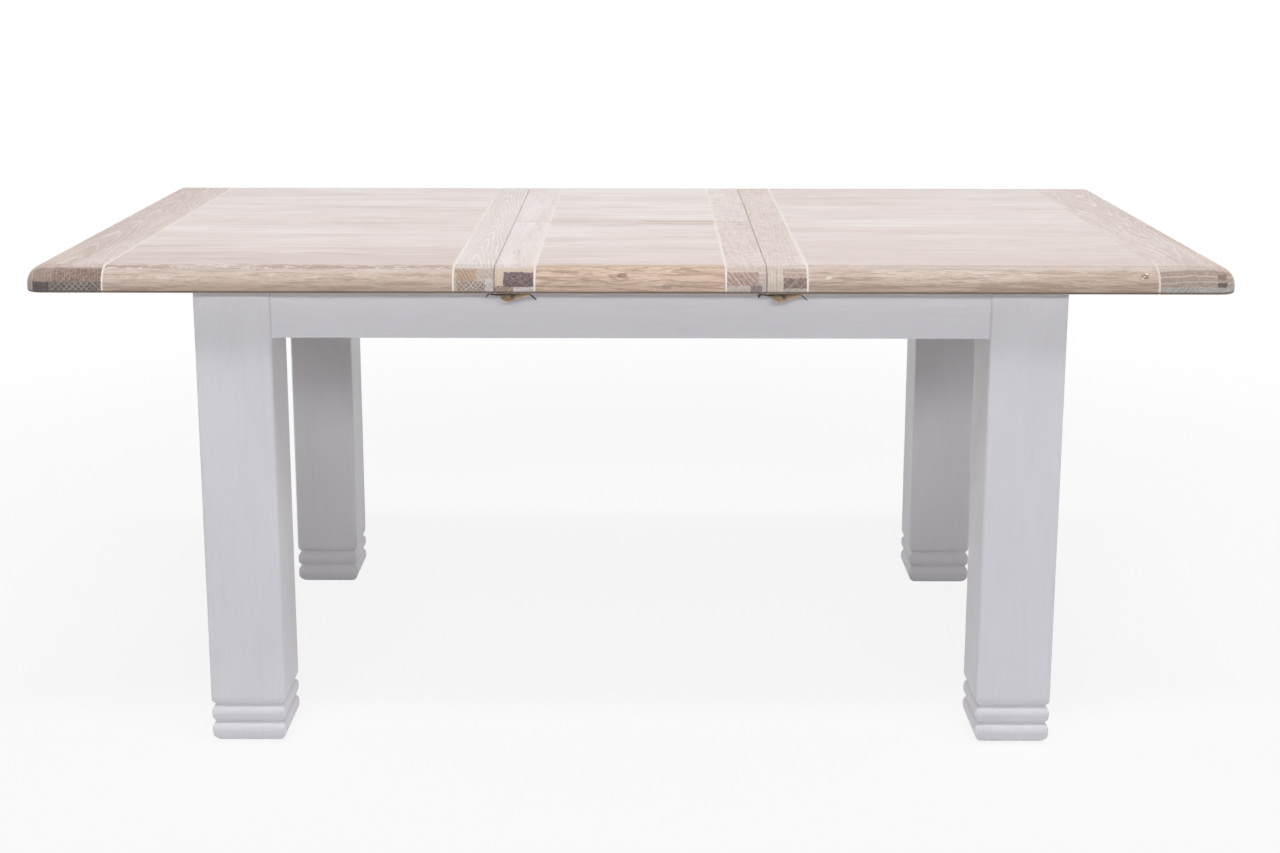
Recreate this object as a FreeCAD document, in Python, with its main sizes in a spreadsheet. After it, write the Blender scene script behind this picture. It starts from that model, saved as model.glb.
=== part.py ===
# Butterfly extension table, drawn out to its full length with its folding leaf in place.
# Frame: millimetres, +Z up, origin on the floor under the middle of the table, X along the table.
import FreeCAD, Part
import math
import os
import re

from FreeCAD import Placement, Rotation, Vector

doc = FreeCAD.newDocument("butterfly_table")
sheet = doc.addObject("Spreadsheet::Sheet", "Sizes")

driving = {
    # the top: two halves and the leaf between them
    "top_height": 766, "top_thickness": 39, "top_width": 906, "half_length": 697.4,
    "leaf_length": 403, "seam_gap": 0.6, "fold_gap": 0.6, "end_board_width": 118, "cleat_width": 60,
    "edge_round": 28, "edge_ease": 3, "groove_bevel": 1.2,
    # the fixed base
    "base_length": 1312, "side_overhang": 30, "base_clearance": 2, "leg_width": 116, "leg_edge_round": 5,
    "apron_depth": 72.5, "apron_thickness": 22, "apron_setback": 5, "glide_thickness": 2,
    "glide_radius": 20, "bead_depth": 7, "upper_bead_height": 28, "lower_bead_height": 34.5,
    "foot_inset": 14, "brace_length": 320, "brace_thickness": 22, "brace_height": 30, "brace_clearance": 3.5,
    "bolt_radius": 4, "bolt_grip": 40, "bolt_tail": 12, "nut_width": 15, "nut_height": 6.5,
    # what the halves slide on
    "guide_inset": 45, "guide_width": 20, "guide_height": 34, "guide_top_drop": 1, "runner_width": 22,
    "slide_room": 27, "runner_inset": 13, "slide_clearance": 0.5, "tongue_height": 8,
    "tongue_depth": 11, "groove_lift": 12, "bearer_width": 30, "bearer_height": 34,
    "inner_bearer_inset": 22.9, "outer_bearer_inset": 170, "screw_radius": 2, "screw_head_radius": 4.2,
    "screw_head_height": 2.5, "screw_bite": 18, "screw_inset": 85,
    # what carries, folds and stows the leaf
    "catch_room": 11, "arm_reach": 135, "arm_width": 16, "arm_thickness": 5, "arm_inset": 51.5,
    "aft_pivot_inset": 22, "pivot_spacing": 180, "bracket_drop": 12, "bracket_thickness": 5,
    "bracket_gap": 2.5,
    "foot_plate_length": 28, "foot_plate_width": 30, "foot_plate_thickness": 3, "shaft_radius": 5,
    "pin_radius": 4, "fit_clearance": 0.05, "open_pivot_clearance": 0.3, "cradle_offset": 12,
    "cradle_thickness": 18, "cradle_height": 24, "cradle_drop": 4, "hinge_inset": 81.5,
    "hinge_link_inner": 11, "hinge_link_outer": 16, "hinge_link_thickness": 4, "hinge_sweep_angle": 78,
    "hinge_cup_width": 12, "hinge_cup_depth": 20, "hinge_cup_cover": 1.5, "hinge_slot_clearance": 0.4,
    "pad_length": 40, "pad_width": 14, "pad_gap": 0.3, "pad_inset": 81.5,
    # the catches under the seams
    "catch_inset": 12, "plate_thickness": 1.5, "plate_width": 16, "catch_plate_length": 34,
    "catch_plate_start": 3, "catch_post_at": 26, "post_radius": 2.5, "post_length": 11,
    "post_head_radius": 4, "post_head_height": 1.2, "tongue_drop": 6.6, "tongue_tail": 15.4,
    "tongue_reach": 28, "tongue_tail_width": 13, "tongue_tip_width": 7, "tongue_thickness": 1.6,
    "tongue_lean_angle": 20, "tongue_climb_angle": 6, "tongue_tab_run": 8.5, "tongue_tab_drop": 5.6,
    "keeper_start": 1.5, "keeper_length": 6, "keeper_tab_run": 5, "keeper_tab_drop": 5.8,
}
derived = {
    "under": "top_height - top_thickness",
    "base_top": "under - base_clearance",
    "base_width": "top_width - 2 * side_overhang",
    "half_width": "top_width / 2",
    "leaf_half": "leaf_length / 2",
    "fold_half": "fold_gap / 2",
    "seam_x": "leaf_half + seam_gap",
    "outer_x": "seam_x + half_length",
    "leg_out_x": "base_length / 2",
    "leg_out_y": "base_width / 2",
    "leg_in_x": "leg_out_x - leg_width",
    "leg_in_y": "leg_out_y - leg_width",
    "apron_out_x": "leg_out_x - apron_setback",
    "apron_out_y": "leg_out_y - apron_setback",
    "apron_in_x": "apron_out_x - apron_thickness",
    "apron_in_y": "apron_out_y - apron_thickness",
    "apron_base": "base_top - apron_depth",
    "guide_inner": "leg_in_y - guide_inset",
    "guide_outer": "guide_inner + guide_width",
    "guide_top": "base_top - guide_top_drop",
    "guide_base": "guide_top - guide_height",
    "brace_base": "guide_base - brace_clearance - brace_height",
    "inner_bearer_at": "seam_x + inner_bearer_inset",
    "outer_bearer_at": "leg_in_x - outer_bearer_inset",
    "groove_base": "guide_base + groove_lift",
    "groove_height": "tongue_height + 2 * slide_clearance",
    "groove_depth": "tongue_depth + 2 * slide_clearance",
    "runner_base": "guide_base + 2 * slide_clearance",
    "runner_face": "guide_outer + slide_clearance",
    "runner_start": "seam_x + runner_inset",
    "runner_end": "apron_in_x - slide_room",
    "stow_drop": "2 * top_thickness + fold_gap + catch_room",
    "arm_lean": "sqrt(arm_reach * arm_reach - stow_drop * stow_drop)",
    "aft_pivot": "guide_inner - aft_pivot_inset",
    "fore_pivot": "aft_pivot - pivot_spacing",
    "pivot_z": "under - bracket_drop",
    "low_z": "pivot_z - stow_drop",
    "cradle_top": "low_z - cradle_drop",
    "arm_side": "leaf_half - arm_inset",
    "hinge_side": "leaf_half - hinge_inset",
    "pad_at": "leaf_half - pad_inset",
    "bracket_x": "arm_side + arm_thickness / 2 + bracket_gap",
    "catch_y": "half_width - catch_inset",
}
for row, (name, value) in enumerate({**driving, **derived}.items(), 1):
    text = str(value) if name in driving else "=" + value
    sheet.set(f"A{row}", name)
    sheet.set(f"B{row}", text)
    sheet.setAlias(f"B{row}", name)
doc.recompute()

functions = {"sqrt", "asin"}
nodes = []


def size(name):
    return float(sheet.get(name))


# An expression written with the sheet's own names, as the document's objects need it.
def bound(text):
    return re.sub(r"[a-z_]+[a-z_0-9]*", lambda m: m[0] if m[0] in functions else "Sizes." + m[0], text)


def bind(item, **texts):
    for place, text in texts.items():
        item.setExpression(place.replace("__", "."), bound(str(text)))
    return item


def seat(item, x="0", y="0", z="0"):
    return bind(item, Placement__Base__x=x, Placement__Base__y=y, Placement__Base__z=z)


# A block between two corners, each given by expressions.
def block(name, x, y, z):
    item = doc.addObject("Part::Box", name)
    bind(item, Length=f"({x[1]}) - ({x[0]})", Width=f"({y[1]}) - ({y[0]})", Height=f"({z[1]}) - ({z[0]})")
    return seat(item, x[0], y[0], z[0])


# A round bar from a start point, along X, Y or Z.
def bar(name, axis, radius, length, start):
    item = doc.addObject("Part::Cylinder", name)
    item.Placement = Placement(Vector(), Rotation(Vector(0, 0, 1), Vector(*axis)))
    bind(item, Radius=radius, Height=length)
    return seat(item, *start)


def joined(name, pieces):
    item = doc.addObject("Part::MultiFuse", name)
    item.Shapes = pieces
    return item


def cut(name, base, tools):
    item = doc.addObject("Part::Cut", name)
    item.Base = base
    item.Tool = tools[0] if len(tools) == 1 else joined(name + "_tools", tools)
    return item


def common(name, first, second):
    item = doc.addObject("Part::Common", name)
    item.Base = first
    item.Tool = second
    return item


# Several like pieces that share one node.
def group(name, pieces):
    item = doc.addObject("Part::Compound", name)
    item.Links = pieces
    return node(name, item)


def node(name, item):
    item.Label = name
    nodes.append(item)
    return item


def mirrored(low, high, sign):
    return (low, high) if sign > 0 else (f"-({high})", f"-({low})")


# The numbers of the edges whose ends all pass a test.
def picked(shape, test):
    return [i for i, edge in enumerate(shape.Edges, 1) if all(test(v.Point) for v in edge.Vertexes)]


def eased(kind, name, base, edges, amount):
    item = doc.addObject(kind, name)
    item.Base = base
    item.Edges = [(i, amount, amount) for i in edges]
    doc.recompute()
    return item


# A board of the top: rounded over on its free sides, bevelled where it meets its neighbour along X.
def board(name, x, y, free, holes=()):
    item = block(name + "_blank", x, y, ("under", "top_height"))
    if holes:
        item = cut(name + "_drilled", item, list(holes))
    doc.recompute()
    box = item.Shape.BoundBox
    sides = {"left": (0, box.XMin), "right": (0, box.XMax), "front": (1, box.YMin), "back": (1, box.YMax)}

    def on(side):
        axis, place = sides[side]
        return lambda p: abs(p[axis] - place) < 1e-6

    def high(p):
        return abs(p.z - box.ZMax) < 1e-6

    def low(p):
        return abs(p.z - box.ZMin) < 1e-6

    shape = item.Shape
    edges = [e for side in free for e in picked(shape, lambda p, s=side: high(p) and on(s)(p))]
    corners = [(a, b) for a in free for b in free if a in ("left", "right") and b in ("front", "back")]
    edges += [e for a, b in corners for e in picked(shape, lambda p: on(a)(p) and on(b)(p))]
    item = eased("Part::Fillet", name + "_rounded", item, edges, size("edge_round"))
    lowest = set(picked(item.Shape, low))
    closed = [s for s in sides if s not in free]
    kept = {e for s in closed for e in picked(item.Shape, on(s))}
    rims = {e for e in lowest if len(item.Shape.Edges[e - 1].Vertexes) == 1}
    item = eased("Part::Fillet", name + "_eased", item, sorted(lowest - kept - rims), size("edge_ease"))
    meets = [s for s in closed if s in ("left", "right")]
    edges = [e for s in meets for e in picked(item.Shape, on(s))]
    return node(name, eased("Part::Chamfer", name, item, edges, size("groove_bevel")))


# Legs: one square profile with two beads at the foot, carried along X and along Y.
def leg_side(width, top):
    half, depth, inset = width / 2, size("bead_depth"), size("foot_inset")
    swell = size("upper_bead_height") / 2
    radius = (depth * depth + swell * swell) / (2 * depth)
    floor = size("glide_thickness")
    belly = floor + size("lower_bead_height") - swell
    first = belly + swell
    second = first + 2 * swell
    rise = belly - floor
    heel = (inset * inset + rise * rise) / (2 * inset)

    def arc(centre_x, centre_z, r, start, end):
        points = []
        for angle in (start, (start + end) / 2, end):
            points.append((centre_x + r * math.cos(angle), centre_z + r * math.sin(angle)))
        return points

    turn = math.asin(swell / radius)
    stages = [
        arc(half - heel, belly, heel, -math.asin(rise / heel), 0),
        arc(half - radius, belly, radius, 0, turn),
        arc(half - radius, first + swell, radius, -turn, turn),
        arc(half - radius, second + swell, radius, -turn, 0),
    ]
    outline = []
    for side in (1, -1):
        run = [Part.Arc(*[Vector(side * u, 0, v) for u, v in s]).toShape() for s in stages]
        shaft = [Vector(side * half, 0, v) for v in (second + swell, top)]
        outline += run + [Part.LineSegment(*shaft).toShape()]
    outline.append(Part.LineSegment(Vector(-half, 0, top), Vector(half, 0, top)).toShape())
    sole = half - inset
    outline.append(Part.LineSegment(Vector(-sole, 0, floor), Vector(sole, 0, floor)).toShape())
    return Part.Face(Part.Wire(Part.__sortEdges__(outline)))


def leg_solid(sign_x, sign_y):
    width, top = size("leg_width"), size("base_top")
    along_y = leg_side(width, top).extrude(Vector(0, width, 0))
    along_y.translate(Vector(0, -width / 2, 0))
    along_x = along_y.copy()
    along_x.rotate(Vector(), Vector(0, 0, 1), 90)
    stock = Part.makeBox(width, width, top, Vector(-width / 2, -width / 2, 0))
    upright = [e for e in stock.Edges if abs(e.tangentAt(0).z) > 0.9]
    leg = along_x.common(along_y).common(stock.makeFillet(size("leg_edge_round"), upright))
    inward = Vector(-sign_x, -sign_y, 0).normalize()
    corner = Vector(-sign_x * width / 2, -sign_y * width / 2, size("brace_base") + size("brace_height") / 2)
    reach = size("bolt_grip") + size("bolt_radius")
    hole = Part.makeCylinder(size("bolt_radius") + size("fit_clearance"), reach, corner, -inward)
    return leg.cut(hole)


corners = {"front_left": (-1, -1), "front_right": (1, -1), "back_left": (-1, 1), "back_right": (1, 1)}
for place, (sx, sy) in corners.items():
    leg = doc.addObject("Part::Feature", place + "_leg")
    leg.Shape = leg_solid(sx, sy)
    middle_x = (size("leg_out_x") + size("leg_in_x")) / 2
    middle_y = (size("leg_out_y") + size("leg_in_y")) / 2
    leg.Placement = Placement(Vector(sx * middle_x, sy * middle_y, 0), Rotation())
    node(place + "_leg", leg)

# Aprons between the legs.
for place, sign in (("front", -1), ("back", 1)):
    y = mirrored("apron_in_y", "apron_out_y", sign)
    node(place + "_apron", block(place + "_apron", ("-leg_in_x", "leg_in_x"), y, ("apron_base", "base_top")))
for place, sign in (("left", -1), ("right", 1)):
    x = mirrored("apron_in_x", "apron_out_x", sign)
    node(place + "_apron", block(place + "_apron", x, ("-leg_in_y", "leg_in_y"), ("apron_base", "base_top")))

# Corner braces across the legs' inner corners, mitred to the aprons, each with a bolt and nut.
inside = block("base_inside", ("-apron_in_x", "apron_in_x"), ("-apron_in_y", "apron_in_y"),
               ("apron_base", "base_top"))
braces, bolts, nuts, glides = [], [], [], []
for place, (sx, sy) in corners.items():
    stock = doc.addObject("Part::Box", place + "_brace_stock")
    stock.Placement = Placement(Vector(), Rotation(Vector(0, 0, 1), math.degrees(math.atan2(sx, -sy))))
    bind(stock, Length="brace_length", Width="brace_thickness", Height="brace_height")
    seat(stock, f"{sx} * leg_in_x + {sy} * brace_length / sqrt(8)",
         f"{sy} * leg_in_y - {sx} * brace_length / sqrt(8)", "brace_base")
    outward = Vector(sx, sy, 0)
    axis_z = "brace_base + brace_height / 2"

    def along(step, place_z=axis_z):
        return (f"{sx} * leg_in_x - {sx} * ({step}) / sqrt(2)",
                f"{sy} * leg_in_y - {sy} * ({step}) / sqrt(2)", place_z)

    whole = "bolt_grip + brace_thickness + bolt_tail"
    tail = "brace_thickness + bolt_tail"
    bore = bar(place + "_brace_bore", outward, "bolt_radius + fit_clearance", whole, along(tail))
    trimmed = common(place + "_brace_trimmed", stock, inside)
    braces.append(cut(place + "_brace", trimmed, [bore]))
    bolts.append(bar(place + "_bolt", outward, "bolt_radius", whole, along(tail)))
    blank = doc.addObject("Part::Prism", place + "_nut_blank")
    blank.Polygon = 6
    blank.Placement = Placement(Vector(), Rotation(Vector(0, 0, 1), outward))
    bind(blank, Circumradius="nut_width / 2", Height="nut_height")
    seat(blank, *along("brace_thickness + nut_height"))
    nut_bore = bar(place + "_nut_bore", outward, "bolt_radius + fit_clearance", whole, along(tail))
    nuts.append(cut(place + "_nut", blank, [nut_bore]))
    glides.append(bar(place + "_glide", (0, 0, 1), "glide_radius", "glide_thickness",
                      (f"{sx} * (leg_out_x + leg_in_x) / 2", f"{sy} * (leg_out_y + leg_in_y) / 2", "0")))
group("corner_braces", braces)
group("brace_bolts", bolts)
group("brace_nuts", nuts)
group("foot_glides", glides)

# Cross bearers, and on them the two grooved guide rails.
for kind in ("inner", "outer"):
    pair = []
    for place, sign in (("left", -1), ("right", 1)):
        x = mirrored(f"{kind}_bearer_at", f"{kind}_bearer_at + bearer_width", sign)
        pair.append(block(f"{place}_{kind}_bearer", x, ("-apron_in_y", "apron_in_y"),
                          ("guide_base - bearer_height", "guide_base")))
    group(f"{kind}_bearers", pair)
for place, sign in (("front", -1), ("back", 1)):
    x = ("-apron_in_x", "apron_in_x")
    rail = block(place + "_guide_blank", x, mirrored("guide_inner", "guide_outer", sign),
                 ("guide_base", "guide_top"))
    groove = block(place + "_guide_groove", x, mirrored("guide_outer - groove_depth", "guide_outer", sign),
                   ("groove_base", "groove_base + groove_height"))
    node(place + "_guide_rail", cut(place + "_guide_rail", rail, [groove]))

# The two halves of the top, with their runners and the screws that hold those.
for place, sign in (("left", -1), ("right", 1)):
    outer, inner = ("left", "right") if sign < 0 else ("right", "left")
    screws, drills = [], []
    for rail, rail_sign in (("front", -1), ("back", 1)):
        tag = f"{place}_{rail}_runner"
        y_mid = f"{rail_sign} * (runner_face + runner_width / 2)"
        body = block(tag + "_body", mirrored("runner_start", "runner_end", sign),
                     mirrored("runner_face", "runner_face + runner_width", rail_sign),
                     ("runner_base", "under"))
        tongue = block(tag + "_tongue", mirrored("runner_start", "runner_end", sign),
                       mirrored("guide_outer - tongue_depth", "runner_face", rail_sign),
                       ("groove_base + slide_clearance", "groove_base + slide_clearance + tongue_height"))
        bores = []
        for end, x_at in (("inner", "runner_start + screw_inset"), ("outer", "runner_end - screw_inset")):
            spot = (f"{sign} * ({x_at})", y_mid)
            head_z = "runner_base + slide_clearance"
            shank = "under + screw_bite - runner_base - slide_clearance"
            up = (0, 0, 1)
            screws.append(joined(f"{tag}_{end}_screw", [
                bar(f"{tag}_{end}_shank", up, "screw_radius", shank, (*spot, head_z)),
                bar(f"{tag}_{end}_head", up, "screw_head_radius", "screw_head_height", (*spot, head_z))]))
            hole = ("screw_radius + fit_clearance", "under + screw_bite - runner_base",
                    (*spot, "runner_base"))
            bores.append(bar(f"{tag}_{end}_bore", up, *hole))
            bores.append(bar(f"{tag}_{end}_counterbore", up, "screw_head_radius + fit_clearance",
                             "screw_head_height + slide_clearance", (*spot, "runner_base")))
            drills.append(bar(f"{tag}_{end}_drill", up, *hole))
        node(tag, cut(tag, joined(tag + "_blank", [body, tongue]), bores))
    group(f"{place}_runner_screws", screws)
    whole_y = ("-half_width", "half_width")
    board(f"{place}_end_board", mirrored("outer_x - end_board_width", "outer_x", sign), whole_y,
          (outer, "front", "back"))
    board(f"{place}_field", mirrored("seam_x + cleat_width", "outer_x - end_board_width", sign), whole_y,
          ("front", "back"), drills)
    board(f"{place}_inner_cleat", mirrored("seam_x", "seam_x + cleat_width", sign), whole_y,
          ("front", "back"))

# The concealed fold hinges: a cup let into each wing, and a curved link that turns out of both.
def hinge_arc(name, x_mid, inner, outer, thickness, sweep):
    ring = doc.addObject("Part::Feature", name)
    axis_z = size("top_height") + size("fold_half")
    start = Vector(x_mid - thickness / 2, 0, axis_z)
    wheel = Part.makeCylinder(outer, thickness, start, Vector(1, 0, 0))
    hole = Part.makeCylinder(inner, thickness, start, Vector(1, 0, 0))
    spread = math.radians(sweep)
    far = 2 * outer / max(math.cos(spread), 0.1)
    fan = [Vector(start.x, 0, axis_z)]
    for angle in (-spread, 0, spread):
        fan.append(Vector(start.x, far * math.sin(angle), axis_z - far * math.cos(angle)))
    wedge = Part.Face(Part.makePolygon(fan + fan[:1])).extrude(Vector(thickness, 0, 0))
    ring.Shape = wheel.cut(hole).common(wedge)
    return ring


links, cups, pockets = [], {-1: [], 1: []}, {-1: [], 1: []}
for spot, sign in (("left", -1), ("right", 1)):
    x_mid = f"{sign} * hinge_side"
    slack = size("hinge_slot_clearance")
    x_at = sign * size("hinge_side")
    inner, outer = size("hinge_link_inner"), size("hinge_link_outer")
    thick, sweep = size("hinge_link_thickness"), size("hinge_sweep_angle")
    links.append(hinge_arc(f"{spot}_link", x_at, inner, outer, thick, sweep))
    for wing, wing_sign in (("front", -1), ("back", 1)):
        tag = f"{spot}_{wing}_hinge"
        x = (f"{x_mid} - hinge_cup_width / 2", f"{x_mid} + hinge_cup_width / 2")
        y = mirrored("fold_half", "fold_half + hinge_cup_depth", wing_sign)
        z = ("top_height - hinge_cup_cover - hinge_cup_depth", "top_height - hinge_cup_cover")
        slot = hinge_arc(tag + "_slot", x_at, inner - slack, outer + slack, thick + 2 * slack, sweep + 4)
        cups[wing_sign].append(cut(tag + "_cup", block(tag + "_body", x, y, z), [slot]))
        pockets[wing_sign].append(block(tag + "_pocket", x, y, z))
group("hinge_links", links)
group("front_hinge_cups", cups[-1])
group("back_hinge_cups", cups[1])

# The leaf: two wings that meet on the table's centre line.
for wing, sign in (("front", -1), ("back", 1)):
    y = mirrored("fold_half", "half_width", sign)
    cleat = ("leaf_half - cleat_width", "leaf_half")
    board(f"{wing}_leaf_field", (f"-({cleat[0]})", cleat[0]), y, (wing,), pockets[sign])
    board(f"{wing}_leaf_left_cleat", mirrored(*cleat, -1), y, (wing,))
    board(f"{wing}_leaf_right_cleat", cleat, y, (wing,))

# Felt pads on the aprons, under the leaf.
pads = []
for rail, rail_sign in (("front", -1), ("back", 1)):
    for spot, sign in (("left", -1), ("right", 1)):
        middle = f"{rail_sign} * (apron_in_y + apron_thickness / 2)"
        x = mirrored("pad_at - pad_length / 2", "pad_at + pad_length / 2", sign)
        y = (f"{middle} - pad_width / 2", f"{middle} + pad_width / 2")
        pads.append(block(f"{rail}_{spot}_pad", x, y, ("base_top", "under - pad_gap")))
group("leaf_pads", pads)

# Cradle rails under the leaf's well, hung from the inner bearers, with the lower pivot brackets.
hangers, lugs = [], []
for pair in ("fore", "aft"):
    low_y = f"({pair}_pivot - arm_lean)"
    y = (f"{low_y} + cradle_offset", f"{low_y} + cradle_offset + cradle_thickness")
    span = "inner_bearer_at + bearer_width"
    node(f"{pair}_cradle_rail", block(f"{pair}_cradle_rail", (f"-({span})", span), y,
                                      ("cradle_top - cradle_height", "cradle_top")))
    for spot, sign in (("left", -1), ("right", 1)):
        tag = f"{pair}_{spot}"
        hangers.append(block(tag + "_hanger", mirrored("inner_bearer_at", span, sign), y,
                             ("cradle_top", "guide_base - bearer_height")))
        x = mirrored("bracket_x", "bracket_x + bracket_thickness", sign)
        lug = block(tag + "_lug_blank", x, (f"{low_y} - arm_width / 2", f"{low_y} + cradle_offset"),
                    ("low_z - cradle_height", "low_z + arm_width / 2"))
        bore = bar(tag + "_lug_bore", (1, 0, 0), "shaft_radius + fit_clearance", "bracket_thickness",
                   (x[0], low_y, "low_z"))
        lugs.append(cut(tag + "_lug", lug, [bore]))
group("cradle_hangers", hangers)
group("pivot_lugs", lugs)

# Swing arms on their shafts, and the brackets and pins under the back wing.
brackets, pins = [], []
for pair, slack in (("fore", "fit_clearance"), ("aft", "open_pivot_clearance")):
    low_y = f"({pair}_pivot - arm_lean)"
    shaft_half = "bracket_x + bracket_thickness + arm_thickness"
    node(f"{pair}_shaft", bar(f"{pair}_shaft", (1, 0, 0), "shaft_radius", f"2 * ({shaft_half})",
                              (f"-({shaft_half})", low_y, "low_z")))
    arms = []
    for spot, sign in (("left", -1), ("right", 1)):
        tag = f"{pair}_{spot}"
        x0 = f"{sign} * arm_side - arm_thickness / 2"
        ahead = (1, 0, 0)
        web = block(tag + "_web", ("0", "arm_thickness"), ("-arm_width / 2", "arm_width / 2"),
                    ("0", "arm_reach"))
        ends = [bar(f"{tag}_{k}_end", ahead, "arm_width / 2", "arm_thickness", ("0", "0", z))
                for k, z in (("low", "0"), ("high", "arm_reach"))]
        bores = [bar(f"{tag}_{k}_bore", ahead, radius, "arm_thickness", ("0", "0", z))
                 for k, radius, z in (("low", "shaft_radius + fit_clearance", "0"),
                                      ("high", f"pin_radius + {slack}", "arm_reach"))]
        arm = cut(f"{tag}_arm", joined(f"{tag}_arm_blank", [web, *ends]), bores)
        arm.Placement = Placement(Vector(), Rotation(Vector(1, 0, 0), -1))
        bind(arm, Placement__Rotation__Angle="asin(-arm_lean / arm_reach)")
        arms.append(seat(arm, x0, low_y, "low_z"))
        x = mirrored("bracket_x", "bracket_x + bracket_thickness", sign)
        ear = block(f"{tag}_ear", x, (f"{pair}_pivot - arm_width / 2", f"{pair}_pivot + arm_width / 2"),
                    ("pivot_z - arm_width / 2", "under"))
        foot = block(f"{tag}_foot", mirrored("bracket_x", "bracket_x + foot_plate_width", sign),
                     (f"{pair}_pivot - foot_plate_length / 2", f"{pair}_pivot + foot_plate_length / 2"),
                     ("under - foot_plate_thickness", "under"))
        bore = bar(f"{tag}_ear_bore", ahead, "pin_radius + fit_clearance", "bracket_thickness",
                   (x[0], f"{pair}_pivot", "pivot_z"))
        brackets.append(cut(f"{tag}_bracket", joined(f"{tag}_bracket_blank", [ear, foot]), [bore]))
        length = "arm_thickness + 2 * bracket_gap + bracket_thickness"
        near = "arm_side - arm_thickness / 2 - bracket_gap"
        pins.append(bar(f"{tag}_pin", ahead, "pin_radius", length,
                        (mirrored(near, f"{near} + {length}", sign)[0], f"{pair}_pivot", "pivot_z")))
    group(f"{pair}_arms", arms)
group("leaf_brackets", brackets)
group("bracket_pins", pins)


# The catches: a brass tongue that turns on a post, and a keeper plate across the seam.
def keeper(name, edge_x, y):
    thick, width = size("plate_thickness"), size("plate_width")
    z = size("under")
    start_x = edge_x - size("keeper_start")
    bend_x = start_x - size("keeper_length")
    tip_x, tip_z = bend_x - size("keeper_tab_run"), z - size("keeper_tab_drop")
    outline = [(start_x, z), (bend_x, z), (tip_x, tip_z), (tip_x + thick * 0.7, tip_z - thick * 0.7),
               (bend_x + thick * 0.4, z - thick), (start_x, z - thick)]
    points = [Vector(u, y - width / 2, v) for u, v in outline]
    item = doc.addObject("Part::Feature", name)
    item.Shape = Part.Face(Part.makePolygon(points + points[:1])).extrude(Vector(0, width, 0))
    return item


# The tongue is a tapered plate, leaning outwards and rising to its tip, with a finger tab bent down there.
def catch_tongue(name, post_x, sign):
    y, z = sign * size("catch_y"), size("under") - size("tongue_drop")
    wide, narrow, thick = (size("tongue_" + k) for k in ("tail_width", "tip_width", "thickness"))
    tail, tip = -size("tongue_tail"), size("tongue_reach")
    corners = [(tail, -wide / 2), (tip, -narrow / 2), (tip, narrow / 2), (tail, wide / 2)]
    points = [Vector(u, v, -thick / 2) for u, v in corners]
    plate = Part.Face(Part.makePolygon(points + points[:1])).extrude(Vector(0, 0, thick))
    run, drop = size("tongue_tab_run"), size("tongue_tab_drop")
    side = [(tip - thick, thick / 2), (tip, thick / 2), (tip + run, thick / 2 - drop),
            (tip + run - thick * 0.4, -thick / 2 - drop), (tip - thick, -thick / 2)]
    points = [Vector(u, -narrow / 2, v) for u, v in side]
    tab = Part.Face(Part.makePolygon(points + points[:1])).extrude(Vector(0, narrow, 0))
    lean = Rotation(Vector(1, 0, 0), -sign * size("tongue_lean_angle"))
    climb = Rotation(Vector(0, -1, 0), size("tongue_climb_angle"))
    shape = plate.fuse(tab).removeSplitter()
    shape.Placement = Placement(Vector(post_x, y, z), climb.multiply(lean))
    foot = Vector(post_x, y, size("under") - size("post_length"))
    bore = Part.makeCylinder(size("post_radius") + size("fit_clearance"), size("post_length"), foot)
    item = doc.addObject("Part::Feature", name)
    item.Shape = shape.cut(bore)
    return node(name, item)


def catch_base(tag, edge, y):
    x = (f"{edge} + catch_plate_start", f"{edge} + catch_plate_start + catch_plate_length")
    plate = block(tag + "_plate", x, (f"{y} - plate_width / 2", f"{y} + plate_width / 2"),
                  ("under - plate_thickness", "under"))
    spot = (f"{edge} + catch_post_at", y)
    post = bar(tag + "_post", (0, 0, 1), "post_radius", "post_length - plate_thickness / 2",
               (*spot, "under - post_length"))
    head = bar(tag + "_post_head", (0, 0, 1), "post_head_radius", "post_head_height",
               (*spot, "under - post_length"))
    return joined(tag, [plate, post, head])


left_keepers, right_bases = [], []
for side, sign in (("front", -1), ("back", 1)):
    y, y_at = f"{sign} * catch_y", sign * size("catch_y")
    left_keepers.append(keeper(f"left_{side}_keeper", -size("seam_x"), y_at))
    node(f"{side}_leaf_catch_base", catch_base(f"{side}_leaf_catch_base", "0 - leaf_half", y))
    catch_tongue(f"{side}_left_catch", -size("leaf_half") + size("catch_post_at"), sign)
    node(f"{side}_leaf_keeper", keeper(f"{side}_leaf_keeper", size("leaf_half"), y_at))
    right_bases.append(catch_base(f"right_{side}_catch_base", "seam_x", y))
    catch_tongue(f"{side}_right_catch", size("seam_x") + size("catch_post_at"), sign)
group("left_keepers", left_keepers)
group("right_catch_bases", right_bases)

doc.recompute()
for item in doc.Objects:
    if "Invalid" in item.State or "Error" in item.State:
        raise SystemExit(f"{item.Name} failed: {item.State}")
for item in nodes:
    if item.Shape.isNull() or not item.Shape.isValid() or not item.Shape.Solids:
        raise SystemExit(f"{item.Label} has no valid solid")
os.makedirs("parts", exist_ok=True)
for item in nodes:
    item.Shape.exportStep(f"parts/{item.Label}.step")
print(len(nodes), "nodes,", sum(len(item.Shape.Solids) for item in nodes), "solids")
swing = 90 + math.degrees(math.asin(size("arm_lean") / size("arm_reach")))
print("arms swing", round(swing, 3), "degrees; lower pivots at", round(size("low_z"), 2),
      "lean", round(size("arm_lean"), 3))
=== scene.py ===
import math
from types import SimpleNamespace

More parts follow.
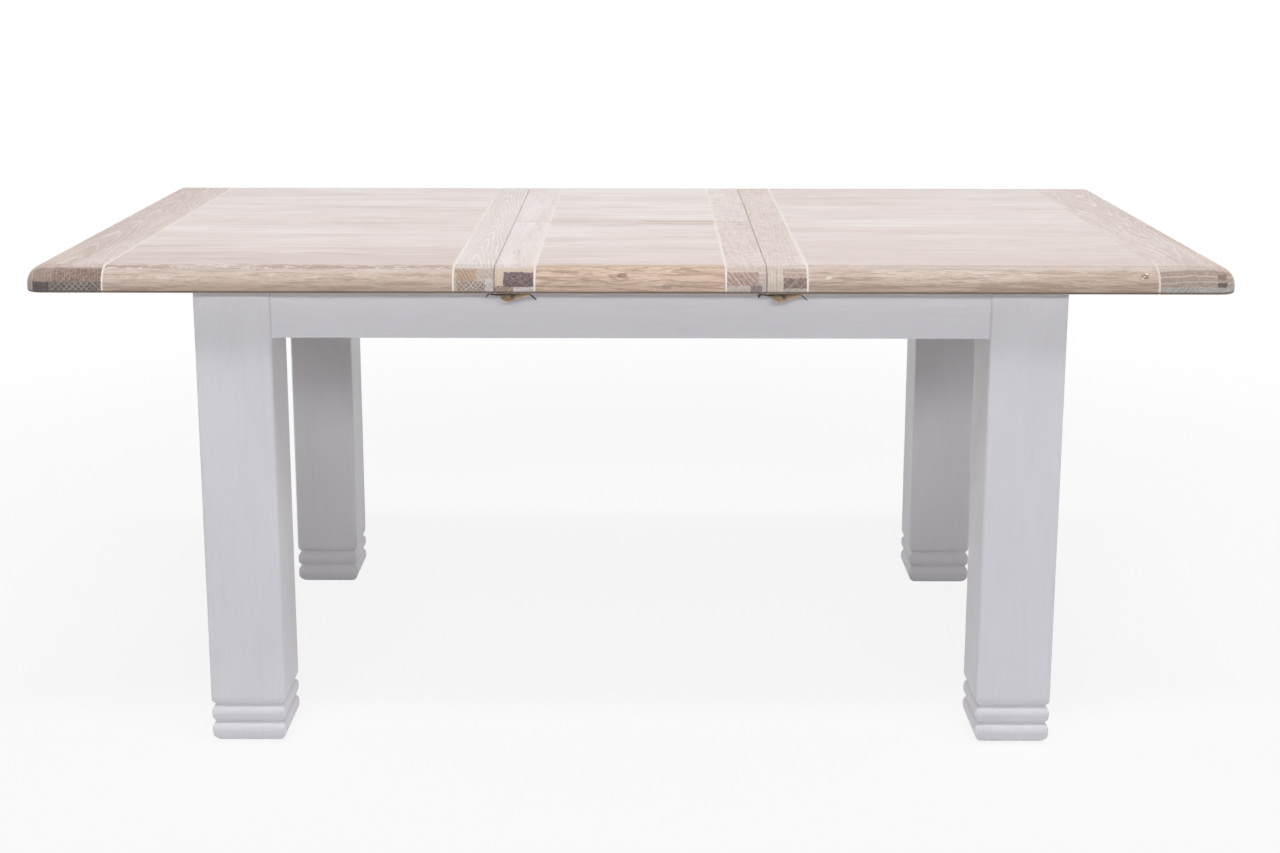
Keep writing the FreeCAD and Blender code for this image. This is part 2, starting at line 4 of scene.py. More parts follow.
import bpy
import numpy as np
from mathutils import Euler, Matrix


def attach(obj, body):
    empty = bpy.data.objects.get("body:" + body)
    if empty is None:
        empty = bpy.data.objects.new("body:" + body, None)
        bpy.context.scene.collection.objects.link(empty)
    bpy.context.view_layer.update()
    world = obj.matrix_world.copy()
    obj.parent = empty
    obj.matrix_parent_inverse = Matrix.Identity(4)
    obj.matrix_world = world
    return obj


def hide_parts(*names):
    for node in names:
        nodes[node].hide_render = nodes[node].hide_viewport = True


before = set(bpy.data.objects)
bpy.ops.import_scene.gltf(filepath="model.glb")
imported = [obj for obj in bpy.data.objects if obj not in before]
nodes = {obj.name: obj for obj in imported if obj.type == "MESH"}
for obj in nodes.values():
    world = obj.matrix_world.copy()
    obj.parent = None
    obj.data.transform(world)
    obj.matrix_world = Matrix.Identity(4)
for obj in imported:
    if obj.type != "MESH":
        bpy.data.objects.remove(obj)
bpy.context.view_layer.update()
print("frame loaded:", len(nodes), "nodes")


# Node helpers: a value is either a socket to link or a plain number or colour to set.
def wire(tree, value, socket):
    if isinstance(value, bpy.types.NodeSocket):
        tree.links.new(value, socket)
    elif socket.type == "RGBA" and len(value) == 3:
        socket.default_value = (*value, 1)
    else:
        socket.default_value = value


def wireAll(tree, item, values):
    for socket, value in zip(item.inputs, values):
        wire(tree, value, socket)
    return item.outputs[0]


def calc(tree, operation, *values, clamp=False):
    item = tree.nodes.new("ShaderNodeMath")
    item.operation = operation
    item.use_clamp = clamp
    return wireAll(tree, item, values)


def times(tree, first, *others):
    for other in others:
        first = calc(tree, "MULTIPLY", first, other)
    return first


def less(tree, first, second):
    return calc(tree, "SUBTRACT", first, second)


def scaled(tree, value, factor, start):
    return calc(tree, "MULTIPLY_ADD", value, factor, start)


def size(tree, value):
    return calc(tree, "ABSOLUTE", value)


def squares(tree, first, second):
    return calc(tree, "ADD", times(tree, first, first), times(tree, second, second))


def distance(tree, first, second):
    return calc(tree, "SQRT", squares(tree, first, second))


def tint(tree, factor, first, second):
    item = tree.nodes.new("ShaderNodeMix")
    item.data_type = "RGBA"
    item.clamp_factor = True
    wire(tree, factor, item.inputs[0])
    wire(tree, first, item.inputs[6])
    wire(tree, second, item.inputs[7])
    return item.outputs[2]


def remap(tree, value, low, high, toLow=0.0, toHigh=1.0):
    item = tree.nodes.new("ShaderNodeMapRange")
    item.interpolation_type = "SMOOTHSTEP"
    return wireAll(tree, item, (value, low, high, toLow, toHigh))


def point(tree, x, y, z):
    return wireAll(tree, tree.nodes.new("ShaderNodeCombineXYZ"), (x, y, z))


def split(tree, vector):
    item = tree.nodes.new("ShaderNodeSeparateXYZ")
    wire(tree, vector, item.inputs[0])
    return item.outputs


def vectorCalc(tree, operation, *values):
    item = tree.nodes.new("ShaderNodeVectorMath")
    item.operation = operation
    return wireAll(tree, item, values)


def seeded(tree, vector, seed, factors):
    return vectorCalc(tree, "ADD", vector, point(tree, *(times(tree, seed, factor) for factor in factors)))


def speckle(tree, vector, scale=1.0, detail=2.0, rough=0.5, warp=0.0):
    item = tree.nodes.new("ShaderNodeTexNoise")
    for name, value in (("Vector", vector), ("Scale", scale), ("Detail", detail), ("Roughness", rough),
                        ("Distortion", warp)):
        wire(tree, value, item.inputs[name])
    return item.outputs[0]


def drawnOut(tree, vector, scales, detail=2.0, rough=0.5, warp=0.0):
    return speckle(tree, vectorCalc(tree, "MULTIPLY", vector, scales), 1.0, detail, rough, warp)


def centred(tree, value):
    return less(tree, value, 0.5)


def chanceOf(tree, value):
    item = tree.nodes.new("ShaderNodeTexWhiteNoise")
    item.noise_dimensions = "1D"
    wire(tree, value, item.inputs["W"])
    return item.outputs["Value"]


def makeGroup(name, inputs, outputs):
    tree = bpy.data.node_groups.new(name, "ShaderNodeTree")
    kinds = {"f": "NodeSocketFloat", "v": "NodeSocketVector", "c": "NodeSocketColor"}
    for way, sockets in (("INPUT", inputs), ("OUTPUT", outputs)):
        for label, kind in sockets:
            tree.interface.new_socket(name=label, in_out=way, socket_type=kinds[kind])
    source = tree.nodes.new("NodeGroupInput")
    drain = tree.nodes.new("NodeGroupOutput")
    return tree, source.outputs, drain.inputs


def place(tree, group, **values):
    item = tree.nodes.new("ShaderNodeGroup")
    item.node_tree = group
    for name, value in values.items():
        wire(tree, value, item.inputs[name])
    return item.outputs


def newMaterial(name):
    material = bpy.data.materials.new(name)
    material.use_nodes = True
    tree = material.node_tree
    return material, tree, tree.nodes["Principled BSDF"]


def spotOf(tree, way="Object"):
    return tree.nodes.new("ShaderNodeTexCoord").outputs[way]


def grainAlong(tree, along):
    x, y, z = split(tree, spotOf(tree))
    return point(tree, *{"x": (x, y, z), "y": (y, x, z), "z": (z, x, y)}[along])


def relief(tree, height, strength, depth, shader):
    item = tree.nodes.new("ShaderNodeBump")
    item.inputs["Strength"].default_value = strength
    item.inputs["Distance"].default_value = depth
    wire(tree, height, item.inputs["Height"])
    wire(tree, item.outputs[0], shader.inputs["Normal"])


def dress(name, material):
    nodes[name].data.materials.clear()
    nodes[name].data.materials.append(material)


# Long grain: streaks, dashes, flecks and broad patches are noise drawn out along the first axis; for each its
# stretch, detail, roughness and warp. Lines are growth rings: the distance from a core line, plus the taper
# along it, bent by noise, over the spacing.
grainNoise = {"Streak": ((3.6, 30, 30), 5, 0.66, 1.0), "Dash": ((13, 210, 210), 3, 0.6, 0.6),
              "Fleck": ((44, 330, 330), 2, 0.6, 1.2), "Cloud": ((2.4, 9, 9), 3, 0.6, 0.8)}
grainLook = {"seeds": (1.7, 3.1, 5.3), "slow": (5, 22, 22), "quick": (42, 160, 160), "line": (0.31, 0.46),
             "poreNoise": (60, 1300, 1300), "poreDetail": 1.5, "pore": (0.58, 0.68)}


def buildOakGrain():
    tree, given, out = makeGroup(
        "oakGrain",
        [("Place", "v"), ("Seed", "f"), ("Spacing", "f"), ("CoreAcross", "f"), ("CoreDepth", "f"),
         ("Taper", "f"), ("Wander", "f"), ("Ripple", "f")],
        [("Line", "f"), ("Streak", "f"), ("Dash", "f"), ("Fleck", "f"), ("Pore", "f"), ("Cloud", "f")])
    moved = seeded(tree, given["Place"], given["Seed"], grainLook["seeds"])
    along, across, deep = split(tree, given["Place"])
    slow = centred(tree, drawnOut(tree, moved, grainLook["slow"]))
    quick = centred(tree, drawnOut(tree, moved, grainLook["quick"]))
    sideways = calc(tree, "ADD", less(tree, across, given["CoreAcross"]), times(tree, slow, given["Wander"]))
    radius = distance(tree, sideways, less(tree, deep, given["CoreDepth"]))
    radius = calc(tree, "ADD", radius, times(tree, along, given["Taper"]))
    bent = scaled(tree, quick, given["Ripple"], radius)
    phase = calc(tree, "PINGPONG", calc(tree, "DIVIDE", bent, given["Spacing"]), 0.5)
    wire(tree, remap(tree, phase, *grainLook["line"]), out["Line"])
    for name, noise in grainNoise.items():
        wire(tree, drawnOut(tree, moved, *noise), out[name])
    pores = drawnOut(tree, moved, grainLook["poreNoise"], grainLook["poreDetail"])
    wire(tree, remap(tree, pores, *grainLook["pore"]), out["Pore"])
    return tree


# One glued-up block of end grain: a box in X and Z over a mottled ground, ruled with pale ring lines round a
# centre outside it and dark troughs beside them. Cross adds the lines round the centre's mirror image in the
# block's middle. Noises are scale, detail and roughness; lengths are in metres.
endLook = {"waver": (110, 4, 0.7), "waverBy": 0.0065, "border": (-0.0004, 0.0004), "grit": (62, 4, 0.6),
           "gritBy": 0.0075, "uneven": (0.7, 0.3), "line": (0.31, 0.43), "troughAfter": 0.27,
           "trough": (0.34, 0.44), "troughShare": 0.75, "fleckNoise": (700, 2, 0.7), "fleck": (0.36, 0.62),
           "fleckShare": (0.55, 0.45), "mottleNoise": (260, 4, 0.65), "mottle": (0.34, 0.66),
           "ruleHeight": 0.6, "mottleHeight": 0.4}


def buildEndBlock():
    tree, given, out = makeGroup(
        "endGrainBlock",
        [("Place", "v"), ("West", "f"), ("East", "f"), ("Foot", "f"), ("Head", "f"), ("CentreX", "f"),
         ("CentreZ", "f"), ("Spacing", "f"), ("Ruled", "f"), ("Cross", "f"), ("Ground", "c"), ("Dark", "c"),
         ("Rule", "c"), ("Under", "c")],
        [("Color", "c"), ("Height", "f")])
    spot = given["Place"]
    x, y, z = split(tree, spot)
    inside = 1.0
    waver = centred(tree, speckle(tree, spot, *endLook["waver"]))
    for value, low, high in ((x, given["West"], given["East"]), (z, given["Foot"], given["Head"])):
        value = scaled(tree, waver, endLook["waverBy"], value)
        for gap in (less(tree, value, low), less(tree, high, value)):
            inside = times(tree, inside, remap(tree, gap, *endLook["border"]))
    grit = centred(tree, speckle(tree, spot, *endLook["grit"]))
    mirrored = less(tree, calc(tree, "ADD", given["West"], given["East"]), given["CentreX"])
    rules, troughs = [], []
    for centre, weight in ((given["CentreX"], given["Ruled"]), (mirrored, given["Cross"])):
        radius = distance(tree, less(tree, x, centre), less(tree, z, given["CentreZ"]))
        turns = calc(tree, "DIVIDE", scaled(tree, grit, endLook["gritBy"], radius), given["Spacing"])
        chance = chanceOf(tree, calc(tree, "FLOOR", turns))
        strong = times(tree, weight, scaled(tree, chance, *endLook["uneven"]))
        after = calc(tree, "ADD", turns, endLook["troughAfter"])
        for lines, phase, kind in ((rules, turns, "line"), (troughs, after, "trough")):
            lines.append(times(tree, strong, remap(tree, calc(tree, "PINGPONG", phase, 0.5), *endLook[kind])))
    fleck = remap(tree, speckle(tree, spot, *endLook["fleckNoise"]), *endLook["fleck"])
    rule = times(tree, calc(tree, "MAXIMUM", *rules), scaled(tree, fleck, *endLook["fleckShare"]))
    mottle = remap(tree, speckle(tree, spot, *endLook["mottleNoise"]), *endLook["mottle"])
    wood = tint(tree, mottle, given["Dark"], given["Ground"])
    trough = times(tree, calc(tree, "MAXIMUM", *troughs), endLook["troughShare"])
    wood = tint(tree, trough, wood, given["Dark"])
    wire(tree, tint(tree, inside, given["Under"], tint(tree, rule, wood, given["Rule"])), out["Color"])
    height = scaled(tree, rule, endLook["ruleHeight"], times(tree, mottle, endLook["mottleHeight"]))
    wire(tree, times(tree, inside, height), out["Height"])
    return tree


# A pale filler line along a joint at one X: the distance from it, roughened along the line.
jointLook = {"rough": (140, 3, 0.6), "roughBy": 0.0016, "solid": 0.7}


def buildJointLine():
    tree, given, out = makeGroup("limedJoint", [("Place", "v"), ("At", "f"), ("Half", "f")], [("Mask", "f")])
    x, y, z = split(tree, given["Place"])
    rough = centred(tree, speckle(tree, given["Place"], *jointLook["rough"]))
    ragged = scaled(tree, rough, jointLook["roughBy"], size(tree, less(tree, x, given["At"])))
    solid = times(tree, given["Half"], jointLook["solid"])
    wire(tree, remap(tree, ragged, solid, given["Half"], 1.0, 0.0), out["Mask"])
    return tree


# A knot in an edge: a dark eye, and the amount by which grain lines swing round it, a bell curve in X and Z.
knotLook = {"long": 2.2, "grit": (420, 3, 0.6), "gritBy": 0.5, "eye": (0.25, 0.75, 1.0, 0.0), "bell": -0.22}


def buildKnot():
    tree, given, out = makeGroup("edgeKnot", [("Place", "v"), ("AtX", "f"), ("AtZ", "f"), ("Size", "f")],
                                 [("Eye", "f"), ("Swing", "f")])
    x, y, z = split(tree, given["Place"])
    offX = calc(tree, "DIVIDE", less(tree, x, given["AtX"]), times(tree, given["Size"], knotLook["long"]))
    offZ = calc(tree, "DIVIDE", less(tree, z, given["AtZ"]), given["Size"])
    square = squares(tree, offX, offZ)
    grit = centred(tree, speckle(tree, given["Place"], *knotLook["grit"]))
    wire(tree, remap(tree, scaled(tree, grit, knotLook["gritBy"], square), *knotLook["eye"]), out["Eye"])
    bell = calc(tree, "EXPONENT", times(tree, square, knotLook["bell"]))
    wire(tree, times(tree, bell, offZ, times(tree, given["Size"], -1.0)), out["Swing"])
    return tree


oakGrain = buildOakGrain()
endGrainBlock = buildEndBlock()
limedJoint = buildJointLine()
edgeKnot = buildKnot()
print("grain groups built")

# Limed oak: the tones, what every board has unless it says otherwise, then each board. Knots are X, Z and size;
# marks are X, Z, size, strength and tone; stains are west, east, Y, half width and strength; joints are X and
# strength; band is where the lime thins towards the front, and by how much.
# The tones for the lower part of the edge and for the lower arris are painted shade; each board sets how strongly its
# lower edge is shaded.
oakTones = {"lime": (0.85, 0.785, 0.768), "mid": (0.7, 0.587, 0.548), "brown": (0.47, 0.34, 0.275),
            "ray": (0.58, 0.42, 0.34), "figure": (0.9, 0.85, 0.83), "filler": (0.9, 0.835, 0.78),
            "edgePale": (0.735, 0.607, 0.525), "edgeTan": (0.605, 0.473, 0.385), "edgeDark": (0.29, 0.19, 0.135),
            "warmPale": (0.77, 0.555, 0.415), "warmDeep": (0.67, 0.465, 0.34), "footTan": (0.46, 0.35, 0.28),
            "footDark": (0.36, 0.265, 0.21), "knotEye": (0.24, 0.15, 0.105), "chip": (0.92, 0.87, 0.85),
            "arrisShade": (0.115, 0.083, 0.066), "under": (0.6, 0.46, 0.36), "underDark": (0.42, 0.3, 0.22),
            "flawPale": (0.92, 0.86, 0.82), "flawBrown": (0.38, 0.27, 0.18)}
rimY, rimX = 0.425, 0.8715
fieldX, endX, leafFieldX = 0.2621, 0.7815, 0.1415
rayWash = (0.2, (0.6, 0.44, 0.34))
plainBoard = dict(spacing=0.0048, core=(-0.3, 0.62), taper=0.01, wander=0.02, ripple=0.0024, turnsLate=0.0,
                  foot=0.42, crease=0.35, warm=0, rings=0, ray=0, wash=None, corner=0, brown=0, knots=[],
                  marks=[], stains=[])
oakBoards = {
    "left_field": dict(along="x", seed=1.3, staves=0.118, lime=0.55, crease=1.0, turnsLate=0.006, foot=0.68,
                       rubbed=0.34, peach=0.12, band=(0.08, 0.38, 0.7), joints=[(-endX, 0.8), (-fieldX, 0.95)]),
    "right_field": dict(along="x", seed=4.7, staves=0.122, lime=0.5, crease=0.45, foot=0.7, rubbed=0.16,
                        peach=0.42, rings=0.195, band=(-0.05, 0.36, 0.54), joints=[(endX, 0.3), (fieldX, 0.95)],
                        knots=[(0.76, 0.7535, 0.0042)],
                        marks=[(0.293, 0.751, 0.003, 0.6, (0.86, 0.8, 0.76)),
                               (0.61, 0.7305, 0.009, 0.6, oakTones["flawBrown"]),
                               (0.645, 0.73, 0.008, 0.5, oakTones["flawBrown"]),
                               (0.76, 0.753, 0.004, 0.8, (0.27, 0.18, 0.135)),
                               (0.7635, 0.757, 0.0016, 0.8, oakTones["flawPale"]),
                               (0.7565, 0.751, 0.0014, 0.7, oakTones["flawPale"]),
                               (0.7595, 0.7535, 0.0013, 0.7, (0.78, 0.64, 0.54))]),
    "front_leaf_field": dict(along="x", seed=8.2, staves=0.128, lime=0.54, crease=0.25, turnsLate=-0.01,
                             foot=0.25, rubbed=0.12, peach=0.6, warm=0.7, rings=0.455, spacing=0.0036,
                             band=(0.05, 0.4, 0.46), joints=[(-leafFieldX, 0.95), (leafFieldX, 0.95)],
                             knots=[(-0.012, 0.754, 0.0048), (0.052, 0.738, 0.0036)],
                             stains=[(-0.02, 0.15, -0.024, 0.014, 0.45), (-0.1, 0.02, -0.04, 0.012, 0.3),
                                     (-0.18, 0.18, -0.02, 0.06, 0.2)]),
    "back_leaf_field": dict(along="x", seed=11.9, staves=0.115, lime=0.66, crease=0.15, rubbed=0, peach=0.12,
                            band=(0.0, 0.41, 0.2), joints=[(-leafFieldX, 0.95), (leafFieldX, 0.95)],
                            stains=[(0.0, 0.15, 0.006, 0.01, 0.75), (-0.08, 0.05, 0.018, 0.008, 0.35),
                                    (-0.18, 0.18, 0.01, 0.045, 0.2)]),
    "left_end_board": dict(along="y", seed=2.1, core=(-0.845, 0.745), taper=0.05, joints=[(-endX, 0.8)], lime=0.25,
                           fleck=0.9, figure=0.2, brown=0.34, corner=0.8, spacing=0.006, wander=0.035,
                           ripple=0.004),
    "right_end_board": dict(along="y", seed=6.4, core=(0.842, 0.75), taper=-0.06, joints=[(endX, 0.3)], lime=0.38,
                            fleck=0.9, figure=0.24, brown=0.32, corner=0.26, spacing=0.007, wander=0.06,
                            ripple=0.005, wash=(0.14, (0.82, 0.675, 0.595))),
    "left_inner_cleat": dict(along="y", seed=3.3, core=(-0.234, 0.76), taper=0.075, joints=[(-fieldX, 0.95)],
                             lime=0.48, fleck=0.25, figure=1.0, spacing=0.0056, wander=0.022, ripple=0.0038,
                             wash=(0.35, (0.66, 0.59, 0.56))),
    "right_inner_cleat": dict(along="y", seed=7.7, core=(0.33, 0.7), taper=0.02, joints=[(fieldX, 0.95)],
                              lime=0.42, fleck=0.9, figure=0.25, ray=0.45, wash=rayWash, spacing=0.005),
    "front_leaf_left_cleat": dict(along="y", seed=9.4, core=(-0.25, 0.55), taper=0.02, lime=0.74, fleck=0.35,
                                  figure=0.15, spacing=0.006, joints=[(-leafFieldX, 0.95)]),
    "back_leaf_left_cleat": dict(along="y", seed=12.6, core=(-0.02, 0.6), taper=0.02, lime=0.58, fleck=0.3,
                                 figure=0.3, spacing=0.0065, joints=[(-leafFieldX, 0.95)]),
    "front_leaf_right_cleat": dict(along="y", seed=10.8, core=(0.1, 0.6), taper=0.02, lime=0.42, fleck=0.9,
                                   figure=0.2, ray=0.48, wash=rayWash, spacing=0.005, joints=[(leafFieldX, 0.95)]),
    "back_leaf_right_cleat": dict(along="y", seed=13.5, core=(0.24, 0.61), taper=0.03, lime=0.46, fleck=0.6,
                                  figure=0.2, ray=0.3, spacing=0.006, joints=[(leafFieldX, 0.95)]),
}
# End grain blocks: west, east, foot and head; the rings' centre and spacing; how strongly they are ruled one
# way and across; ground, dark and rule tones.
endBlocks = {
    "left_end_board": [
        ((-0.91, -0.78, 0.72, 0.77), (-1.4, 0.755), 0.0045, 0.5, 0,
         (0.4, 0.3, 0.255), (0.27, 0.2, 0.165), (0.52, 0.44, 0.395)),
        ((-0.854, -0.78, 0.7447, 0.763), (-1.3, 0.7), 0.004, 0.6, 0,
         (0.365, 0.255, 0.21), (0.17, 0.11, 0.088), (0.56, 0.455, 0.4)),
        ((-0.861, -0.78, 0.72, 0.7447), (-1.22, 1.135), 0.006, 0.9, 0.9,
         (0.215, 0.175, 0.16), (0.092, 0.069, 0.063), (0.48, 0.43, 0.405)),
        ((-0.8846, -0.8605, 0.72, 0.744), (-0.86, 0.6), 0.005, 0.35, 0,
         (0.135, 0.105, 0.107), (0.0707, 0.0539, 0.0572), (0.242, 0.202, 0.202)),
        ((-0.91, -0.8868, 0.72, 0.77), (-0.9, -0.5), 0.004, 0.2, 0,
         (0.377, 0.303, 0.249), (0.289, 0.222, 0.175), (0.431, 0.364, 0.309)),
        ((-0.8868, -0.8855, 0.72, 0.757), (-0.9, 0), 0.01, 0, 0,
         (0.566, 0.519, 0.471), (0.471, 0.41, 0.364), (0.566, 0.519, 0.471))],
    "right_end_board": [
        ((0.78, 0.91, 0.72, 0.77), (0.84, 0.3), 0.0085, 1.0, 0,
         (0.46, 0.36, 0.31), (0.34, 0.255, 0.215), (0.7, 0.61, 0.565)),
        ((0.78, 0.845, 0.72, 0.7385), (0.878, 0.69), 0.0046, 1.0, 0,
         (0.53, 0.49, 0.47), (0.43, 0.39, 0.37), (0.15, 0.12, 0.105)),
        ((0.845, 0.91, 0.72, 0.7385), (0.95, 1.05), 0.009, 0.25, 0,
         (0.527, 0.493, 0.476), (0.416, 0.383, 0.374), (0.306, 0.272, 0.264)),
        ((0.868, 0.8815, 0.749, 0.7565), (0.86, 0.65), 0.004, 0.2, 0,
         (0.306, 0.221, 0.178), (0.204, 0.145, 0.119), (0.383, 0.306, 0.264)),
        ((0.8675, 0.881, 0.738, 0.7455), (0.86, 0.65), 0.004, 0.2, 0,
         (0.178, 0.132, 0.115), (0.111, 0.0808, 0.0723), (0.272, 0.221, 0.204))],
    "left_inner_cleat": [
        ((-0.27, -0.2, 0.72, 0.764), (-0.16, 0.8), 0.006, 0.6, 0,
         (0.56, 0.47, 0.41), (0.42, 0.34, 0.29), (0.72, 0.66, 0.62)),
        ((-0.27, -0.228, 0.744, 0.763), (-0.282, 0.728), 0.0046, 1.0, 0,
         (0.54, 0.39, 0.285), (0.43, 0.3, 0.215), (0.19, 0.115, 0.075)),
        ((-0.257, -0.2145, 0.72, 0.746), (-0.65, 1.15), 0.005, 1.0, 1.0,
         (0.42, 0.33, 0.28), (0.26, 0.19, 0.16), (0.7, 0.63, 0.58)),
        ((-0.27, -0.257, 0.72, 0.755), (-0.26, 0.2), 0.006, 0.2, 0,
         (0.56, 0.48, 0.37), (0.45, 0.38, 0.29), (0.66, 0.58, 0.47)),
        ((-0.2145, -0.2, 0.72, 0.749), (-0.1, 0.82), 0.007, 0.6, 0,
         (0.69, 0.64, 0.61), (0.48, 0.43, 0.41), (0.78, 0.74, 0.72))],
    "front_leaf_left_cleat": [
        ((-0.21, -0.14, 0.72, 0.764), (-0.17, 0.3), 0.006, 0.3, 0,
         (0.69, 0.55, 0.44), (0.58, 0.45, 0.35), (0.76, 0.65, 0.56)),
        ((-0.21, -0.169, 0.72, 0.7385), (-0.45, 1.0), 0.0058, 0.9, 0,
         (0.4, 0.28, 0.235), (0.27, 0.185, 0.155), (0.73, 0.65, 0.59)),
        ((-0.1735, -0.14, 0.72, 0.737), (-0.4, 1.0), 0.0065, 0.5, 0,
         (0.67, 0.62, 0.6), (0.54, 0.49, 0.475), (0.76, 0.72, 0.7)),
        ((-0.188, -0.1435, 0.7375, 0.758), (-0.2, 0.69), 0.0042, 0.3, 0,
         (0.25, 0.165, 0.165), (0.085, 0.055, 0.062), (0.44, 0.33, 0.32))],
    "front_leaf_right_cleat": [
        ((0.14, 0.21, 0.72, 0.764), (0.17, 0.3), 0.006, 0.4, 0,
         (0.69, 0.57, 0.485), (0.57, 0.455, 0.38), (0.78, 0.69, 0.62)),
        ((0.14, 0.19, 0.74, 0.7585), (0.5, 1.02), 0.0062, 0.9, 0,
         (0.48, 0.34, 0.29), (0.34, 0.23, 0.19), (0.76, 0.68, 0.63)),
        ((0.19, 0.21, 0.738, 0.7585), (0.19, 0.3), 0.0065, 0.7, 0,
         (0.62, 0.53, 0.48), (0.48, 0.4, 0.36), (0.8, 0.75, 0.72)),
        ((0.14, 0.21, 0.72, 0.74), (0.5, 1.02), 0.006, 0.35, 0,
         (0.61, 0.54, 0.5), (0.48, 0.41, 0.38), (0.7, 0.64, 0.6)),
        ((0.178, 0.195, 0.7295, 0.74), (0.18, 0.66), 0.004, 0.2, 0,
         (0.33, 0.265, 0.265), (0.22, 0.17, 0.175), (0.45, 0.39, 0.39))],
    "right_inner_cleat": [
        ((0.2, 0.27, 0.72, 0.764), (0.24, 0.3), 0.0065, 0.6, 0,
         (0.53, 0.4, 0.33), (0.4, 0.29, 0.235), (0.73, 0.65, 0.59)),
        ((0.2, 0.226, 0.72, 0.7635), (-0.15, 0.745), 0.0052, 0.8, 0,
         (0.71, 0.62, 0.55), (0.61, 0.51, 0.44), (0.37, 0.27, 0.22)),
        ((0.2265, 0.2605, 0.7355, 0.751), (-0.1, 1.06), 0.0115, 0.75, 0.4,
         (0.3, 0.21, 0.185), (0.165, 0.115, 0.1), (0.68, 0.6, 0.56)),
        ((0.226, 0.27, 0.72, 0.7355), (0.24, 0.3), 0.006, 0.3, 0,
         (0.58, 0.51, 0.48), (0.43, 0.365, 0.335), (0.68, 0.62, 0.59))],
    "back_leaf_left_cleat": [
        ((-0.21, -0.14, 0.72, 0.764), (-0.1, 0.8), 0.006, 0.6, 0,
         (0.6, 0.48, 0.4), (0.46, 0.35, 0.28), (0.72, 0.64, 0.58)),
        ((-0.21, -0.165, 0.731, 0.755), (-0.22, 0.71), 0.0045, 0.7, 0,
         (0.4, 0.29, 0.245), (0.26, 0.185, 0.155), (0.66, 0.57, 0.52))],
    "back_leaf_right_cleat": [
        ((0.14, 0.21, 0.72, 0.764), (0.12, 0.7), 0.0055, 0.6, 0,
         (0.58, 0.46, 0.385), (0.44, 0.33, 0.27), (0.72, 0.64, 0.58)),
        ((0.16, 0.21, 0.72, 0.742), (0.5, 1.0), 0.006, 0.7, 0.5,
         (0.46, 0.37, 0.33), (0.29, 0.22, 0.19), (0.66, 0.59, 0.55))],
}


# Where a spot of a board lies, and its grain. The rim is how far past the start of the rounded edge it is.
staveLook = {"seedShift": 0.037, "shuffle": 3.0}


def oakSpot(tree, board):
    item = tree.nodes.new("ShaderNodeTexCoord")
    spot = SimpleNamespace(where=item.outputs["Object"])
    x, y, z = split(tree, spot.where)
    spot.facing = split(tree, item.outputs["Normal"])
    seed = board["seed"]
    tall = z
    spot.eye = 0.0
    for atX, atZ, wide in board["knots"]:
        knot = place(tree, edgeKnot, Place=spot.where, AtX=atX, AtZ=atZ, Size=wide)
        tall = calc(tree, "ADD", tall, knot["Swing"])
        spot.eye = calc(tree, "MAXIMUM", spot.eye, knot["Eye"])
    if board["along"] == "x":
        shifted = calc(tree, "ADD", y, staveLook["seedShift"] * seed)
        stave = calc(tree, "FLOOR", calc(tree, "DIVIDE", shifted, board["staves"]))
        spot.chance = chanceOf(tree, calc(tree, "ADD", stave, seed))
        spot.grainPlace = point(tree, scaled(tree, spot.chance, staveLook["shuffle"], x), y, tall)
    else:
        spot.grainPlace = point(tree, y, x, z)
    grain = place(tree, oakGrain, Place=spot.grainPlace, Seed=seed, Spacing=board["spacing"],
                  CoreAcross=board["core"][0], CoreDepth=board["core"][1], Taper=board["taper"],
                  Wander=board["wander"], Ripple=board["ripple"])
    spot.line, spot.streak, spot.dash, spot.fleck, spot.pore, spot.cloud = (
        grain[name] for name in ("Line", "Streak", "Dash", "Fleck", "Pore", "Cloud"))
    spot.x, spot.y, spot.z = x, y, z
    spot.rim = calc(tree, "MAXIMUM", less(tree, size(tree, y), rimY), less(tree, size(tree, x), rimX))
    spot.turnsAt = less(tree, spot.rim, board["turnsLate"])
    return spot


# The flat of a board: streaky wood under a wash of lime, thinner towards the front of the fields; flecks, rays,
# a brown wash towards the outer front corners, and ring lines on the boards that run across.
flatLook = {"softStreak": (0.3, 0.68), "streakShare": 0.48, "dashShare": 0.56, "limeCloud": (0.32, 0.68),
            "limeSpread": 0.45, "limeLess": 0.1, "staveSpread": 0.1, "limeLoss": 0.9,
            "brownDash": (0.53, 0.72), "brownStreak": (0.4, 0.66), "brownShare": 0.45, "ragged": 0.3,
            "rubbedFrom": (0.27, 0.36), "rubbedDash": (0.4, 0.62, 0.25, 1.0), "peachFrom": (-0.05, 0.002),
            "stainRagged": 0.007, "stainWest": 0.04, "stainEast": 0.02, "wornFleck": (0.5, 0.68),
            "wornShare": 0.45, "limeFleck": (0.47, 0.33), "limeShare": 0.8, "pores": 0.12,
            "rayNoise": ((130, 44, 44), 3, 0.65, 0.9), "rayDark": (0.5, 0.64), "rayPale": (0.47, 0.36),
            "cornerFrom": (0.775, 0.885), "cornerBack": (0.44, -0.44, 0.55, 1.0), "cornerStreak": (0.3, 0.7),
            "cornerLeast": 0.5, "lateCloud": (0.42, 0.58), "lateLeast": 0.15, "arcFleck": (0.34, 0.56, 0.35, 1.0)}


